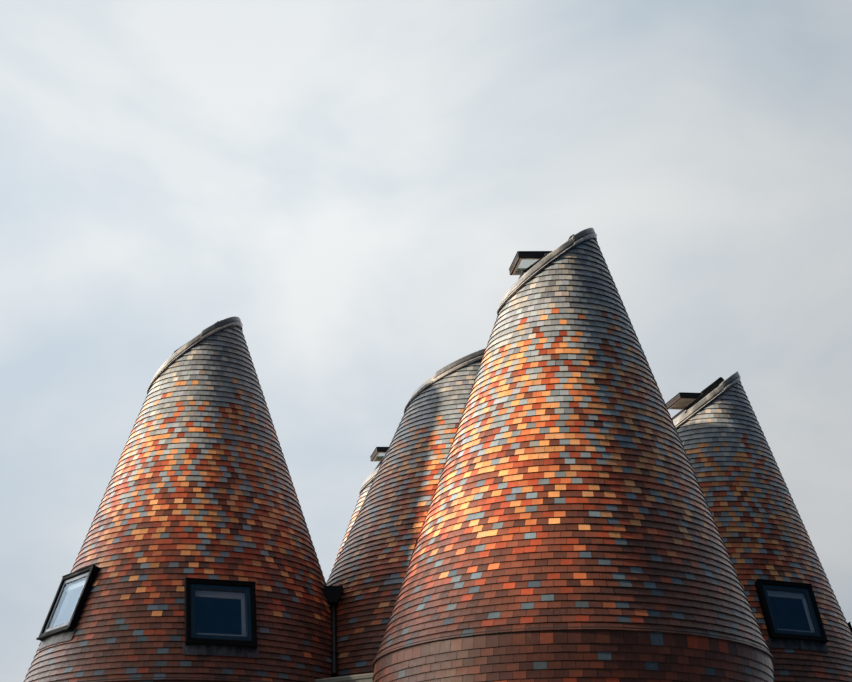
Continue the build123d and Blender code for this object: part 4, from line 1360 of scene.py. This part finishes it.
soft = wn("ShaderNodeMath")                     # the soft light is a little weaker than what shines back from the surfaces
soft.operation = "MULTIPLY_ADD"
soft.inputs[1].default_value, soft.inputs[2].default_value = -0.62, 1.35
wt.links.new(lp.outputs["Is Diffuse Ray"], soft.inputs[0])
wt.links.new(soft.outputs[0], bg_light.inputs["Strength"])
sx = wn("ShaderNodeSeparateXYZ")
wt.links.new(tc.outputs["Generated"], sx.inputs[0])
back = wn("ShaderNodeValToRGB")
e = back.color_ramp.elements
e[0].position, e[0].color = 0.10, (0.57, 0.59, 0.61, 1)
e[1].position, e[1].color = 0.62, (0.63, 0.685, 0.73, 1)
x = e.new(0.25)
x.color = (0.69, 0.72, 0.745, 1)
x = e.new(0.40)
x.color = (0.76, 0.80, 0.825, 1)
wt.links.new(sx.outputs[2], back.inputs[0])
cl = wn("ShaderNodeTexNoise")
cl.inputs["Scale"].default_value, cl.inputs["Detail"].default_value = 5.0, 5.0
cl.inputs["Roughness"].default_value, cl.inputs["Distortion"].default_value = 0.50, 0.3
cm = wn("ShaderNodeMapping")
cm.inputs["Scale"].default_value = (1.0, 1.0, 1.7)
wt.links.new(tc.outputs["Generated"], cm.inputs["Vector"])
wt.links.new(cm.outputs[0], cl.inputs["Vector"])
cr = wn("ShaderNodeValToRGB")
e = cr.color_ramp.elements
e[0].position, e[0].color = 0.36, (0.81, 0.88, 0.95, 1)
e[1].position, e[1].color = 0.66, (1.14, 1.115, 1.09, 1)
wt.links.new(cl.outputs["Fac"], cr.inputs[0])
cx_ = wn("ShaderNodeVectorMath")
cx_.operation = "MULTIPLY"
wt.links.new(back.outputs[0], cx_.inputs[0])
wt.links.new(cr.outputs[0], cx_.inputs[1])
side = wn("ShaderNodeMapRange")                # the backdrop darkens to the right
side.interpolation_type = "SMOOTHSTEP"
side.inputs["From Min"].default_value, side.inputs["From Max"].default_value = -0.08, 0.30
side.inputs["To Min"].default_value, side.inputs["To Max"].default_value = 1.0, 0.72
wt.links.new(sx.outputs[0], side.inputs["Value"])
bg_back = wn("ShaderNodeBackground")
wt.links.new(cx_.outputs[0], bg_back.inputs["Color"])
wt.links.new(side.outputs[0], bg_back.inputs["Strength"])
ms = wn("ShaderNodeMixShader")
wt.links.new(lp.outputs["Is Camera Ray"], ms.inputs[0])
wt.links.new(bg_light.outputs[0], ms.inputs[1])
wt.links.new(bg_back.outputs[0], ms.inputs[2])
wt.links.new(ms.outputs[0], wo.inputs[0])

cam = bpy.data.cameras.new("camera")
co = bpy.data.objects.new("camera", cam)
bpy.context.scene.collection.objects.link(co)
cam.sensor_width = 36.0
cam.lens = 36.0 * 1843.0 / 852.0
cam.clip_start, cam.clip_end = 0.5, 300.0
co.location = (-0.75, -29.075, 1.6)
co.rotation_mode = "XYZ"
co.rotation_euler = (math.radians(90.0 + 19.93), 0.0, math.radians(-0.01))
bpy.context.scene.camera = co
bpy.context.scene.view_settings.view_transform = "Standard"
